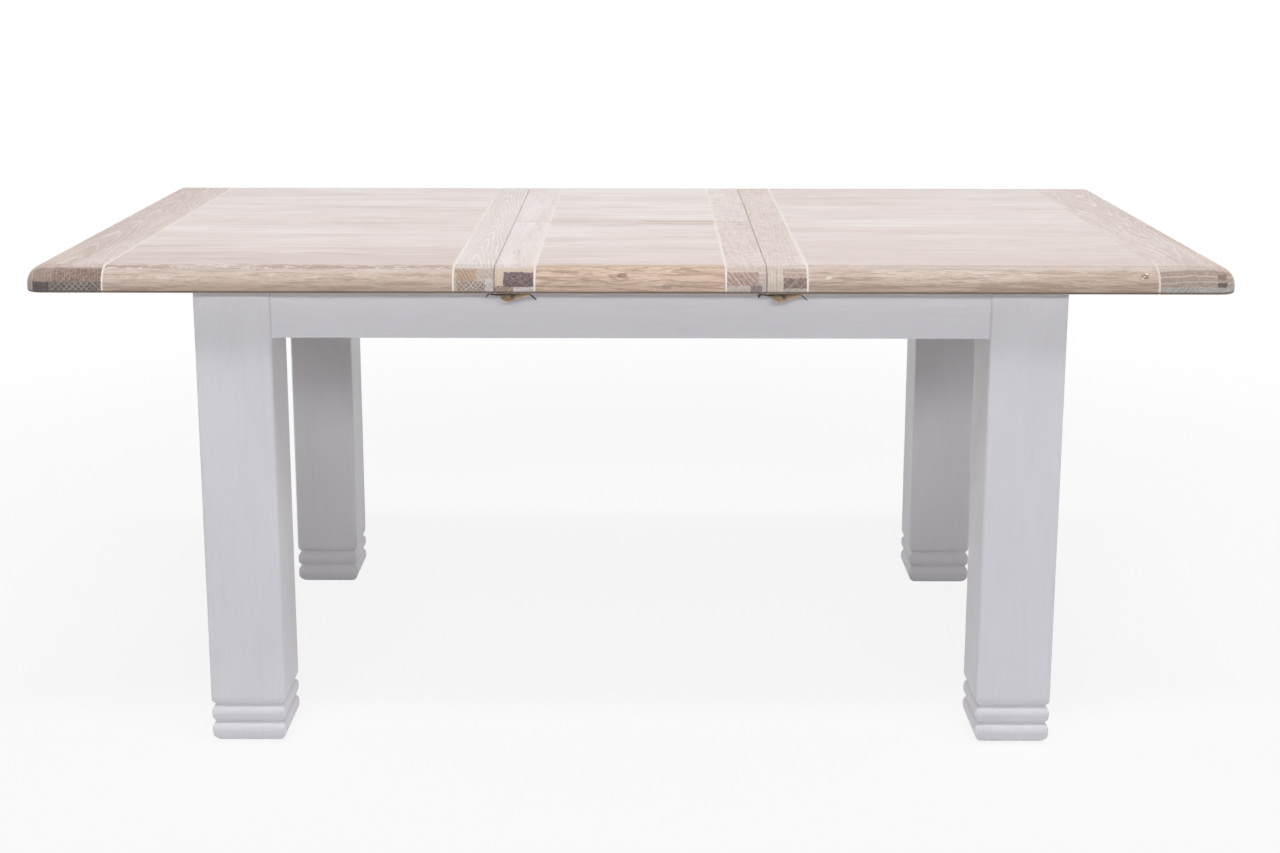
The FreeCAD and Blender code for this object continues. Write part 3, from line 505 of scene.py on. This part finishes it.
def oakFlat(tree, board, spot):
    look, tones = flatLook, oakTones
    soft = scaled(tree, remap(tree, spot.streak, *look["softStreak"]), look["streakShare"],
                  times(tree, spot.dash, look["dashShare"]))
    wash = scaled(tree, remap(tree, spot.cloud, *look["limeCloud"]), look["limeSpread"],
                  board["lime"] - look["limeLess"])
    if board["along"] == "x":
        wash = scaled(tree, centred(tree, spot.chance), look["staveSpread"], wash)
    wash = calc(tree, "SUBTRACT", wash, times(tree, centred(tree, soft), look["limeLoss"]), clamp=True)
    flat = tint(tree, wash, tones["mid"], tones["lime"])
    brown = times(tree, remap(tree, spot.dash, *look["brownDash"]), remap(tree, spot.streak, *look["brownStreak"]),
                  look["brownShare"])
    flat = tint(tree, brown, flat, tones["brown"])
    flat = (fieldFlat if board["along"] == "x" else crossFlat)(tree, board, spot, flat)
    return tint(tree, times(tree, spot.pore, look["pores"]), flat, tones["brown"])


def fieldFlat(tree, board, spot, flat):
    look, tones = flatLook, oakTones
    forward = scaled(tree, centred(tree, spot.streak), look["ragged"], times(tree, spot.y, -1.0))
    bandFrom, bandTo, bandShare = board["band"]
    flat = tint(tree, remap(tree, forward, bandFrom, bandTo, 0.0, bandShare), flat, tones["mid"])
    rubbed = times(tree, remap(tree, forward, *look["rubbedFrom"], 0.0, board["rubbed"]),
                   remap(tree, spot.dash, *look["rubbedDash"]))
    flat = tint(tree, rubbed, flat, tones["brown"])
    flat = tint(tree, remap(tree, spot.rim, *look["peachFrom"], 0.0, board["peach"]), flat, tones["edgePale"])
    for west, east, atY, wide, strength in board["stains"]:
        off = scaled(tree, centred(tree, spot.dash), look["stainRagged"], less(tree, spot.y, atY))
        lane = times(tree, remap(tree, spot.x, west, west + look["stainWest"]),
                     remap(tree, spot.x, east, east - look["stainEast"]),
                     remap(tree, size(tree, off), wide, 0.0, 0.0, strength))
        flat = tint(tree, lane, flat, tones["brown"])
    return flat


def crossFlat(tree, board, spot, flat):
    look, tones = flatLook, oakTones
    worn = remap(tree, spot.fleck, *look["wornFleck"], 0.0, look["wornShare"] * board["fleck"])
    flat = tint(tree, worn, flat, tones["brown"])
    limed = remap(tree, spot.fleck, *look["limeFleck"], 0.0, look["limeShare"] * board["fleck"])
    flat = tint(tree, limed, flat, tones["lime"])
    if board["ray"]:
        rays = drawnOut(tree, spot.grainPlace, *look["rayNoise"])
        flat = tint(tree, remap(tree, rays, *look["rayDark"], 0.0, board["ray"]), flat, tones["ray"])
        flat = tint(tree, remap(tree, rays, *look["rayPale"], 0.0, board["ray"]), flat, tones["lime"])
    if board["wash"]:
        share, tone = board["wash"]
        flat = tint(tree, share, flat, tone)
    if board["corner"]:
        shade = times(tree, remap(tree, size(tree, spot.x), *look["cornerFrom"]),
                      remap(tree, spot.y, *look["cornerBack"]),
                      remap(tree, spot.streak, *look["cornerStreak"], look["cornerLeast"], 1.0), board["corner"])
        flat = tint(tree, shade, flat, tones["brown"])
    if board["brown"]:
        late = times(tree, less(tree, 1.0, spot.line),
                     remap(tree, spot.cloud, *look["lateCloud"], look["lateLeast"], board["brown"]))
        flat = tint(tree, late, flat, tones["brown"])
    arcs = times(tree, spot.line, remap(tree, spot.fleck, *look["arcFleck"]), board["figure"])
    return tint(tree, arcs, flat, tones["figure"])


# The rounded edge: warm long grain with the lime rubbed off, darker dashes, painted shade on its lower part, ring
# lines round the knots, marks, and the blocks of end grain where a board is sawn across.
edgeLook = {"cloud": (0.35, 0.68), "warmStreak": (0.35, 0.65), "darkDash": (0.47, 0.66, 0.0, 0.5),
            "darkFleck": (0.52, 0.66, 0.0, 0.38), "limeFleck": (0.42, 0.3, 0.0, 0.55), "footFrom": (0.757, 0.731),
            "footDash": (0.4, 0.6), "eyeFleck": (0.35, 0.6, 0.4, 0.85), "sawnFacing": (0.3, 0.55),
            "fleckDepth": -0.5, "poreDepth": -0.5}


def oakEdge(tree, name, board, spot):
    look, tones = edgeLook, oakTones
    edge = tint(tree, remap(tree, spot.cloud, *look["cloud"]), tones["edgeTan"], tones["edgePale"])
    if board["warm"]:
        warm = tint(tree, remap(tree, spot.streak, *look["warmStreak"]), tones["warmPale"], tones["warmDeep"])
        edge = tint(tree, board["warm"], edge, warm)
    edge = tint(tree, remap(tree, spot.dash, *look["darkDash"]), edge, tones["edgeDark"])
    edge = tint(tree, remap(tree, spot.fleck, *look["darkFleck"]), edge, tones["edgeDark"])
    edge = tint(tree, remap(tree, spot.fleck, *look["limeFleck"]), edge, tones["lime"])
    # painted shade: the lower part of the rounded edge turns a darker, dashed brown downwards
    foot = tint(tree, remap(tree, spot.dash, *look["footDash"]), tones["footTan"], tones["footDark"])
    edge = tint(tree, remap(tree, spot.z, *look["footFrom"], 0.0, board["foot"]), edge, foot)
    if board["knots"]:
        edge = tint(tree, times(tree, spot.line, board["rings"]), edge, tones["edgeDark"])
        eye = times(tree, spot.eye, remap(tree, spot.fleck, *look["eyeFleck"]))
        edge = tint(tree, eye, edge, tones["knotEye"])
    for atX, atZ, wide, strength, tone in board["marks"]:
        mark = place(tree, edgeKnot, Place=spot.where, AtX=atX, AtZ=atZ, Size=wide)["Eye"]
        edge = tint(tree, times(tree, mark, strength), edge, tone)
    height = scaled(tree, spot.fleck, look["fleckDepth"], times(tree, spot.pore, look["poreDepth"]))
    sawn = remap(tree, size(tree, spot.facing[1]), *look["sawnFacing"])
    for (west, east, low, high), centre, spacing, ruled, cross, ground, dark, rule in endBlocks.get(name, []):
        block = place(tree, endGrainBlock, Place=spot.where, West=west, East=east, Foot=low, Head=high,
                      CentreX=centre[0], CentreZ=centre[1], Spacing=spacing, Ruled=ruled, Cross=cross,
                      Ground=ground, Dark=dark, Rule=rule, Under=edge)
        edge = tint(tree, sawn, edge, block["Color"])
        height = calc(tree, "ADD", height, times(tree, block["Height"], sawn))
    return edge, height


# Over both: the worn crease where the rounding starts, with brown chips and white flecks along it, the filled
# joints, painted shade in the leaves' fold line, painted shade along the lower arris, and the bare underside.
wearLook = {"flatEnds": (0.006, 0.019, 1.0, 0.0), "creaseIn": (-0.012, -0.003), "creaseOut": (0.008, 0.012, 1.0, 0.0),
            "thinIn": (-0.003, 0.001), "thinOut": (0.006, 0.01, 1.0, 0.0), "thinCloud": (0.4, 0.55),
            "thinShare": 0.85, "chipNoise": ((34, 260, 60), 4, 0.7), "chips": (0.5, 0.6), "chipShare": 0.9,
            "brightNoise": ((60, 340, 90), 3, 0.7), "brights": (0.55, 0.62), "brightShare": 0.8,
            "jointHalf": (0.0, 0.012, 0.0026, 0.0017), "jointEdge": (-0.02, 0.004), "jointGain": 0.5,
            "fold": (0.0012, 0.0045, 0.45, 0.0), "arrisShade": (0.7322, 0.7292, 0.0, 0.9), "downward": (-0.5, -0.9),
            "underDash": (0.4, 0.65), "rough": (0.2, 0.8, 0.52, 0.66), "relief": (0.4, 0.0006)}


def oakWear(tree, name, board, spot, colour):
    look, tones = wearLook, oakTones
    crease = times(tree, remap(tree, spot.turnsAt, *look["creaseIn"]), remap(tree, spot.turnsAt, *look["creaseOut"]))
    thin = times(tree, remap(tree, spot.turnsAt, *look["thinIn"]), remap(tree, spot.turnsAt, *look["thinOut"]))
    chips = remap(tree, drawnOut(tree, spot.grainPlace, *look["chipNoise"]), *look["chips"])
    brights = remap(tree, drawnOut(tree, spot.grainPlace, *look["brightNoise"]), *look["brights"])
    patches = remap(tree, spot.cloud, *look["thinCloud"])
    for line, broken, share, tone in ((thin, patches, "thinShare", "brown"), (crease, chips, "chipShare", "brown"),
                                      (crease, brights, "brightShare", "chip")):
        colour = tint(tree, times(tree, line, broken, look[share] * board["crease"]), colour, tones[tone])
    half = remap(tree, spot.rim, *look["jointHalf"])
    for at, strong in board["joints"]:
        joint = place(tree, limedJoint, Place=spot.where, At=at, Half=half)["Mask"]
        strength = remap(tree, spot.rim, *look["jointEdge"], strong, min(1.0, strong + look["jointGain"]))
        colour = tint(tree, times(tree, joint, strength), colour, tones["filler"])
    # painted shade in the gap along the fold line of the leaves
    if "leaf" in name:
        colour = tint(tree, remap(tree, size(tree, spot.y), *look["fold"]), colour, tones["brown"])
    # painted shade: a dark line along the lower arris of the edge
    colour = tint(tree, remap(tree, spot.z, *look["arrisShade"]), colour, tones["arrisShade"])
    under = tint(tree, remap(tree, spot.dash, *look["underDash"]), tones["under"], tones["underDark"])
    return tint(tree, remap(tree, spot.facing[2], *look["downward"]), colour, under)


def oakMaterial(name, board):
    material, tree, shader = newMaterial("limedOak." + name)
    spot = oakSpot(tree, board)
    edge, height = oakEdge(tree, name, board, spot)
    flatPart = remap(tree, spot.turnsAt, *wearLook["flatEnds"])
    colour = tint(tree, flatPart, edge, oakFlat(tree, board, spot))
    wire(tree, oakWear(tree, name, board, spot, colour), shader.inputs["Base Color"])
    wire(tree, remap(tree, spot.streak, *wearLook["rough"]), shader.inputs["Roughness"])
    relief(tree, height, *wearLook["relief"], shader)
    return material


for name, board in oakBoards.items():
    dress(name, oakMaterial(name, {**plainBoard, **board}))
print("limed oak set on", len(oakBoards), "boards")


# Brushed paint over open-grained wood: fine ridges along the grain, faint patches of wear.
paint = {"colour": (0.735, 0.728, 0.78), "shade": (0.68, 0.67, 0.72), "worn": (0.56, 0.54, 0.55),
         "seeds": (1.0, 2.3, 0.0), "coarse": ((7, 190, 190), 3, 0.6, 0.4), "coarseShare": 0.6,
         "fine": ((24, 620, 620), 2, 0.6), "fineShare": 0.4, "patches": ((3, 8, 8), 3, 0.5),
         "nicks": (30, 120, 120), "nick": (0.72, 0.78), "patchTone": (0.35, 0.65, 0.0, 0.55),
         "ridgeTone": (0.5, 0.72, 0.0, 0.6), "nickShare": 0.25, "rough": (0.3, 0.7, 0.44, 0.58),
         "relief": (0.75, 0.001), "seedStep": 1.9, "firstSeed": 0.7}


def buildPaintGrain():
    tree, given, out = makeGroup("paintGrain", [("Place", "v"), ("Seed", "f")],
                                 [("Ridge", "f"), ("Patch", "f"), ("Nick", "f")])
    moved = seeded(tree, given["Place"], given["Seed"], paint["seeds"])
    fine = times(tree, drawnOut(tree, moved, *paint["fine"]), paint["fineShare"])
    wire(tree, scaled(tree, drawnOut(tree, moved, *paint["coarse"]), paint["coarseShare"], fine), out["Ridge"])
    wire(tree, drawnOut(tree, moved, *paint["patches"]), out["Patch"])
    wire(tree, remap(tree, drawnOut(tree, moved, paint["nicks"]), *paint["nick"]), out["Nick"])
    return tree


paintGrain = buildPaintGrain()


def paintMaterial(name, along, seed):
    material, tree, shader = newMaterial("paleGreyPaint." + name)
    grain = place(tree, paintGrain, Place=grainAlong(tree, along), Seed=seed)
    tone = calc(tree, "ADD", remap(tree, grain["Patch"], *paint["patchTone"]),
                remap(tree, grain["Ridge"], *paint["ridgeTone"]), clamp=True)
    colour = tint(tree, tone, paint["colour"], paint["shade"])
    colour = tint(tree, times(tree, grain["Nick"], paint["nickShare"]), colour, paint["worn"])
    wire(tree, colour, shader.inputs["Base Color"])
    wire(tree, remap(tree, grain["Ridge"], *paint["rough"]), shader.inputs["Roughness"])
    relief(tree, grain["Ridge"], *paint["relief"], shader)
    return material


painted = {"front_left_leg": "z", "front_right_leg": "z", "back_left_leg": "z", "back_right_leg": "z",
           "front_apron": "x", "back_apron": "x", "left_apron": "y", "right_apron": "y"}
for number, (name, along) in enumerate(painted.items()):
    dress(name, paintMaterial(name, along, paint["seedStep"] * number + paint["firstSeed"]))
print("paint set on", len(painted), "pieces")

# Plain hidden timber, metals, felt and plastic.
plainWood = {"early": (0.66, 0.5, 0.34), "late": (0.5, 0.35, 0.22), "streak": (0.3, 0.7), "streakShare": 0.6,
             "dash": (0.45, 0.7), "dashShare": 0.3, "rough": (0.3, 0.7, 0.55, 0.7), "relief": (0.2, 0.0005),
             "seedStep": 2.3, "firstSeed": 0.4,
             "rings": dict(Spacing=0.006, CoreAcross=0.2, CoreDepth=0.3, Taper=0.01, Wander=0.03, Ripple=0.002)}
plainWoodNodes = {
    "front_guide_rail": "x", "back_guide_rail": "x", "left_front_runner": "x", "left_back_runner": "x",
    "right_front_runner": "x", "right_back_runner": "x", "fore_cradle_rail": "x", "aft_cradle_rail": "x",
    "inner_bearers": "y", "outer_bearers": "y", "corner_braces": "y", "cradle_hangers": "z"}


def plainWoodMaterial(name, along, seed):
    material, tree, shader = newMaterial("plainBeech." + name)
    grain = place(tree, oakGrain, Place=grainAlong(tree, along), Seed=seed, **plainWood["rings"])
    late = scaled(tree, remap(tree, grain["Streak"], *plainWood["streak"]), plainWood["streakShare"],
                  times(tree, remap(tree, grain["Dash"], *plainWood["dash"]), plainWood["dashShare"]))
    wire(tree, tint(tree, late, plainWood["early"], plainWood["late"]), shader.inputs["Base Color"])
    wire(tree, remap(tree, grain["Cloud"], *plainWood["rough"]), shader.inputs["Roughness"])
    relief(tree, grain["Streak"], *plainWood["relief"], shader)
    return material


for number, (name, along) in enumerate(plainWoodNodes.items()):
    dress(name, plainWoodMaterial(name, along, plainWood["seedStep"] * number + plainWood["firstSeed"]))

metalLook = {"cloud": (90, 4, 0.6), "stain": (0.42, 0.68), "scratch": (300, 2200, 2200), "worn": (0.3, 0.7),
             "relief": (0.12, 0.0002)}
metals = {
    "zincSteel": dict(colour=(0.6, 0.61, 0.62), stain=(0.4, 0.4, 0.4), rough=(0.28, 0.46), metal=1.0,
                      nodes=["brace_bolts", "brace_nuts", "left_runner_screws", "right_runner_screws", "fore_shaft",
                             "aft_shaft", "bracket_pins", "hinge_links"]),
    "darkSteel": dict(colour=(0.075, 0.066, 0.062), stain=(0.14, 0.1, 0.08), rough=(0.34, 0.55), metal=0.85,
                      nodes=["pivot_lugs", "fore_arms", "aft_arms", "leaf_brackets", "left_keepers",
                             "right_catch_bases", "front_leaf_catch_base", "back_leaf_catch_base",
                             "front_leaf_keeper", "back_leaf_keeper"]),
    "wornBrass": dict(colour=(0.58, 0.43, 0.23), stain=(0.42, 0.29, 0.14), rough=(0.28, 0.48), metal=1.0,
                      nodes=["front_hinge_cups", "back_hinge_cups"]),
    "dullBronze": dict(colour=(0.69, 0.52, 0.36), stain=(0.48, 0.335, 0.21), rough=(0.36, 0.54), metal=0.38,
                       nodes=["front_left_catch", "back_left_catch", "front_right_catch", "back_right_catch"]),
}


def metalMaterial(name, metal):
    material, tree, shader = newMaterial(name)
    spot = spotOf(tree)
    stain = remap(tree, speckle(tree, spot, *metalLook["cloud"]), *metalLook["stain"])
    scratch = drawnOut(tree, spot, metalLook["scratch"])
    wire(tree, tint(tree, stain, metal["colour"], metal["stain"]), shader.inputs["Base Color"])
    wire(tree, remap(tree, scratch, *metalLook["worn"], *metal["rough"]), shader.inputs["Roughness"])
    shader.inputs["Metallic"].default_value = metal["metal"]
    relief(tree, scratch, *metalLook["relief"], shader)
    return material


for name, metal in metals.items():
    made = metalMaterial(name, metal)
    for node in metal["nodes"]:
        dress(node, made)

softLook = {"detail": 3, "fuzzRough": 0.6, "fuzz": (0.35, 0.65), "relief": (0.3, 0.0004)}
softs = {"greyFelt": dict(node="leaf_pads", colour=(0.22, 0.2, 0.19), other=(0.34, 0.32, 0.3), scale=900,
                          rough=0.95),
         "glidePlastic": dict(node="foot_glides", colour=(0.5, 0.49, 0.48), other=(0.4, 0.39, 0.38), scale=300,
                              rough=0.6)}
for name, soft in softs.items():
    material, tree, shader = newMaterial(name)
    fuzz = speckle(tree, spotOf(tree), soft["scale"], softLook["detail"], softLook["fuzzRough"])
    wire(tree, tint(tree, remap(tree, fuzz, *softLook["fuzz"]), soft["colour"], soft["other"]),
         shader.inputs["Base Color"])
    shader.inputs["Roughness"].default_value = soft["rough"]
    relief(tree, fuzz, *softLook["relief"], shader)
    dress(soft["node"], material)
print("hidden pieces finished")

# The catches: a leaning wedge of bronze on its post, and over the seam a dark strip bent down at one end as a
# finger tab. Stations are along the strip, height from the underside of the top, width and thickness, in metres.
catchTongue = {"sides": {"front": -1, "back": 1}, "posts": {"left": -0.1755, "right": 0.2281}, "outY": 0.441,
               "underZ": 0.727, "rings": 20, "square": 0.18,
               "wedge": dict(slot="brass", finish="dullBronze", lean=46, inset=0.0, steps=30,
                             stations=[(-0.0174, -0.0096, 0.0012, 0.0018), (-0.0146, -0.0079, 0.0092, 0.002),
                                       (-0.0085, -0.009, 0.0139, 0.002), (0.0045, -0.0066, 0.0088, 0.002),
                                       (0.0254, -0.003, 0.0024, 0.0016)]),
               "strip": dict(slot="dark_steel", finish="darkSteel", lean=0, inset=0.0075, steps=40,
                             stations=[(-0.033, -0.0044, 0.006, 0.0013), (-0.018, -0.0058, 0.006, 0.0014),
                                       (0.0, -0.0056, 0.006, 0.0014), (0.023, -0.0038, 0.0056, 0.0013),
                                       (0.0252, -0.0044, 0.0056, 0.0014), (0.035, -0.0122, 0.005, 0.0014)])}


# A bar: a squared-off ellipse carried along the stations, in steps of equal length, and leaned about its own line.
def buildBar(name, bar, postX, side):
    stations = np.array(bar["stations"])
    rings = catchTongue["rings"]
    gone = np.concatenate([[0], np.cumsum(np.hypot(*np.diff(stations[:, :2], axis=0).T))])
    steps = np.linspace(0, gone[-1], bar["steps"])
    along, height, wide, thick = (np.interp(steps, gone, column) for column in stations.T)
    runX, runZ = np.gradient(along), np.gradient(height)
    length = np.hypot(runX, runZ)
    upX, upZ = -runZ / length, runX / length
    angle = np.linspace(0, 2 * np.pi, rings, endpoint=False)
    across, through = (np.sign(wave) * np.abs(wave) ** catchTongue["square"] / 2
                       for wave in (np.cos(angle), np.sin(angle)))
    lean = -side * math.radians(bar["lean"])
    breadth, depth = np.outer(wide, across), np.outer(thick, through)
    outY = breadth * math.cos(lean) - depth * math.sin(lean)
    rise = breadth * math.sin(lean) + depth * math.cos(lean)
    points = np.stack([postX + along[:, None] + rise * upX[:, None],
                       side * (catchTongue["outY"] - bar["inset"]) + outY,
                       catchTongue["underZ"] + height[:, None] + rise * upZ[:, None]], axis=-1).reshape(-1, 3)
    first = np.arange((len(steps) - 1) * rings).reshape(-1, rings)
    near = np.roll(first, -1, axis=1)
    quads = np.stack([first, first + rings, near + rings, near], axis=-1).reshape(-1, 4)
    ends = [list(range(rings)), list(range(len(points) - 1, len(points) - rings - 1, -1))]
    mesh = bpy.data.meshes.new(name)
    mesh.from_pydata(points.tolist(), [], quads.tolist() + ends)
    mesh.materials.append(bpy.data.materials[bar["finish"]])
    piece = bpy.data.objects.new(name, mesh)
    bpy.context.scene.collection.objects.link(piece)
    return piece


for sideName, side in catchTongue["sides"].items():
    for seamName, postX in catchTongue["posts"].items():
        label = sideName + "_" + seamName
        wedge = buildBar(label + "_catch_wedge", catchTongue["wedge"], postX, side)
        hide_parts(label + "_catch")
        strip = buildBar(label + "_catch_strip", catchTongue["strip"], postX, side)
        for piece in (wedge, strip):
            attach(piece, label + "_tongue")
print("catches built")

# The studio: a pale floor that fades into a white room, broad lamps above, in front, behind and at the ends.
studio = {"floor": (0.8, 0.8, 0.8), "floorHalf": 16.0, "floorRough": 0.9, "white": (1, 1, 1, 1),
          "fade": (1.2, 3.2, 0.86, 1.0), "glowUp": (0.0, 0.42, 2.0, 0.0), "glowBack": (-0.2, 0.7),
          "lamps": [dict(name="highFront", at=(0.4, -2.15, 7.2), aim=(0, 0, 0.7), size=(5.0, 0.9), power=291),
                    dict(name="frontSoft", at=(0.0, -8.0, 3.7), aim=(0, 0, 0.4), size=(7.0, 1.1), power=284),
                    dict(name="highBack", at=(0.0, 4.2, 4.2), aim=(0, 0, 0.3), size=(6.0, 1.0), power=50),
                    dict(name="westSoft", at=(-6.0, 0.6, 1.8), aim=(0, 0, 0.3), size=(3.0, 2.0), power=64),
                    dict(name="eastSoft", at=(6.0, 0.6, 1.8), aim=(0, 0, 0.3), size=(3.0, 2.0), power=64)]}


def seenRays(tree, *kinds):
    light = tree.nodes.new("ShaderNodeLightPath")
    seen = light.outputs["Is Camera Ray"]
    for kind in kinds:
        seen = calc(tree, "ADD", seen, light.outputs[kind], clamp=True)
    return seen


def mixShaders(tree, factor, first, second):
    item = tree.nodes.new("ShaderNodeMixShader")
    for value, socket in zip((factor, first, second), item.inputs):
        tree.links.new(value, socket)
    return item.outputs[0]


def buildFloor():
    half = studio["floorHalf"]
    corners = [(-half, -half, 0), (half, -half, 0), (half, half, 0), (-half, half, 0)]
    mesh = bpy.data.meshes.new("studioFloor")
    mesh.from_pydata(corners, [], [(0, 1, 2, 3)])
    floor = bpy.data.objects.new("studioFloor", mesh)
    bpy.context.scene.collection.objects.link(floor)
    material, tree, shader = newMaterial("paleFloor")
    x, y, z = split(tree, spotOf(tree))
    shader.inputs["Base Color"].default_value = (*studio["floor"], 1)
    shader.inputs["Roughness"].default_value = studio["floorRough"]
    shader.inputs["Specular IOR Level"].default_value = 0.0
    white = tree.nodes.new("ShaderNodeEmission")
    white.inputs["Color"].default_value = studio["white"]
    fade = times(tree, seenRays(tree, "Is Glossy Ray"), remap(tree, distance(tree, x, y), *studio["fade"]))
    above = mixShaders(tree, fade, shader.outputs[0], white.outputs[0])
    # clear from below, so that the underside can be looked at
    clear = tree.nodes.new("ShaderNodeBsdfTransparent")
    facing = tree.nodes.new("ShaderNodeNewGeometry")
    surface = mixShaders(tree, facing.outputs["Backfacing"], above, clear.outputs[0])
    tree.links.new(surface, tree.nodes["Material Output"].inputs["Surface"])
    mesh.materials.append(material)


# The room's own light comes from low down behind, like a lit white wall; the eye sees plain white all round.
def buildWorld():
    world = bpy.data.worlds.new("whiteRoom")
    bpy.context.scene.world = world
    world.use_nodes = True
    tree = world.node_tree
    seen = seenRays(tree, "Is Glossy Ray", "Is Transmission Ray")
    x, y, z = split(tree, spotOf(tree, "Generated"))
    glow = times(tree, remap(tree, z, *studio["glowUp"]), remap(tree, y, *studio["glowBack"]))
    back = tree.nodes["Background"]
    back.inputs["Color"].default_value = studio["white"]
    wire(tree, calc(tree, "MAXIMUM", seen, glow), back.inputs["Strength"])


def buildLamps():
    for lamp in studio["lamps"]:
        data = bpy.data.lights.new(lamp["name"], "AREA")
        data.shape = "RECTANGLE"
        data.size, data.size_y = lamp["size"]
        data.energy = lamp["power"]
        item = bpy.data.objects.new(lamp["name"], data)
        item.location = lamp["at"]
        aim = np.array(lamp["aim"], float) - np.array(lamp["at"], float)
        tilt = math.atan2(math.hypot(aim[0], aim[1]), -aim[2])
        item.rotation_euler = Euler((tilt, 0, math.atan2(aim[1], aim[0]) - math.pi / 2))
        bpy.context.scene.collection.objects.link(item)


buildFloor()
buildWorld()
buildLamps()

# The camera, from the fit to the photograph's edges: metres, degrees, and the lens for the sensor's width in mm.
camera = {"at": (0.0198, -3.1066, 1.2411), "pitch": 11.103, "roll": 0.079, "yaw": 0.121, "lens": 51.43,
          "sensor": 36, "shiftY": -0.1}
data = bpy.data.cameras.new("photoCamera")
data.sensor_width = camera["sensor"]
data.lens = camera["lens"]
data.shift_y = camera["shiftY"]
eye = bpy.data.objects.new("photoCamera", data)
eye.location = camera["at"]
turn = Euler((math.radians(90 - camera["pitch"]), 0, math.radians(camera["yaw"]))).to_matrix()
spin = Euler((0, 0, math.radians(camera["roll"]))).to_matrix()
eye.rotation_euler = (turn @ spin).to_euler()
bpy.context.scene.collection.objects.link(eye)
bpy.context.scene.camera = eye
bpy.context.scene.view_settings.view_transform = "Standard"
print("studio and camera ready")
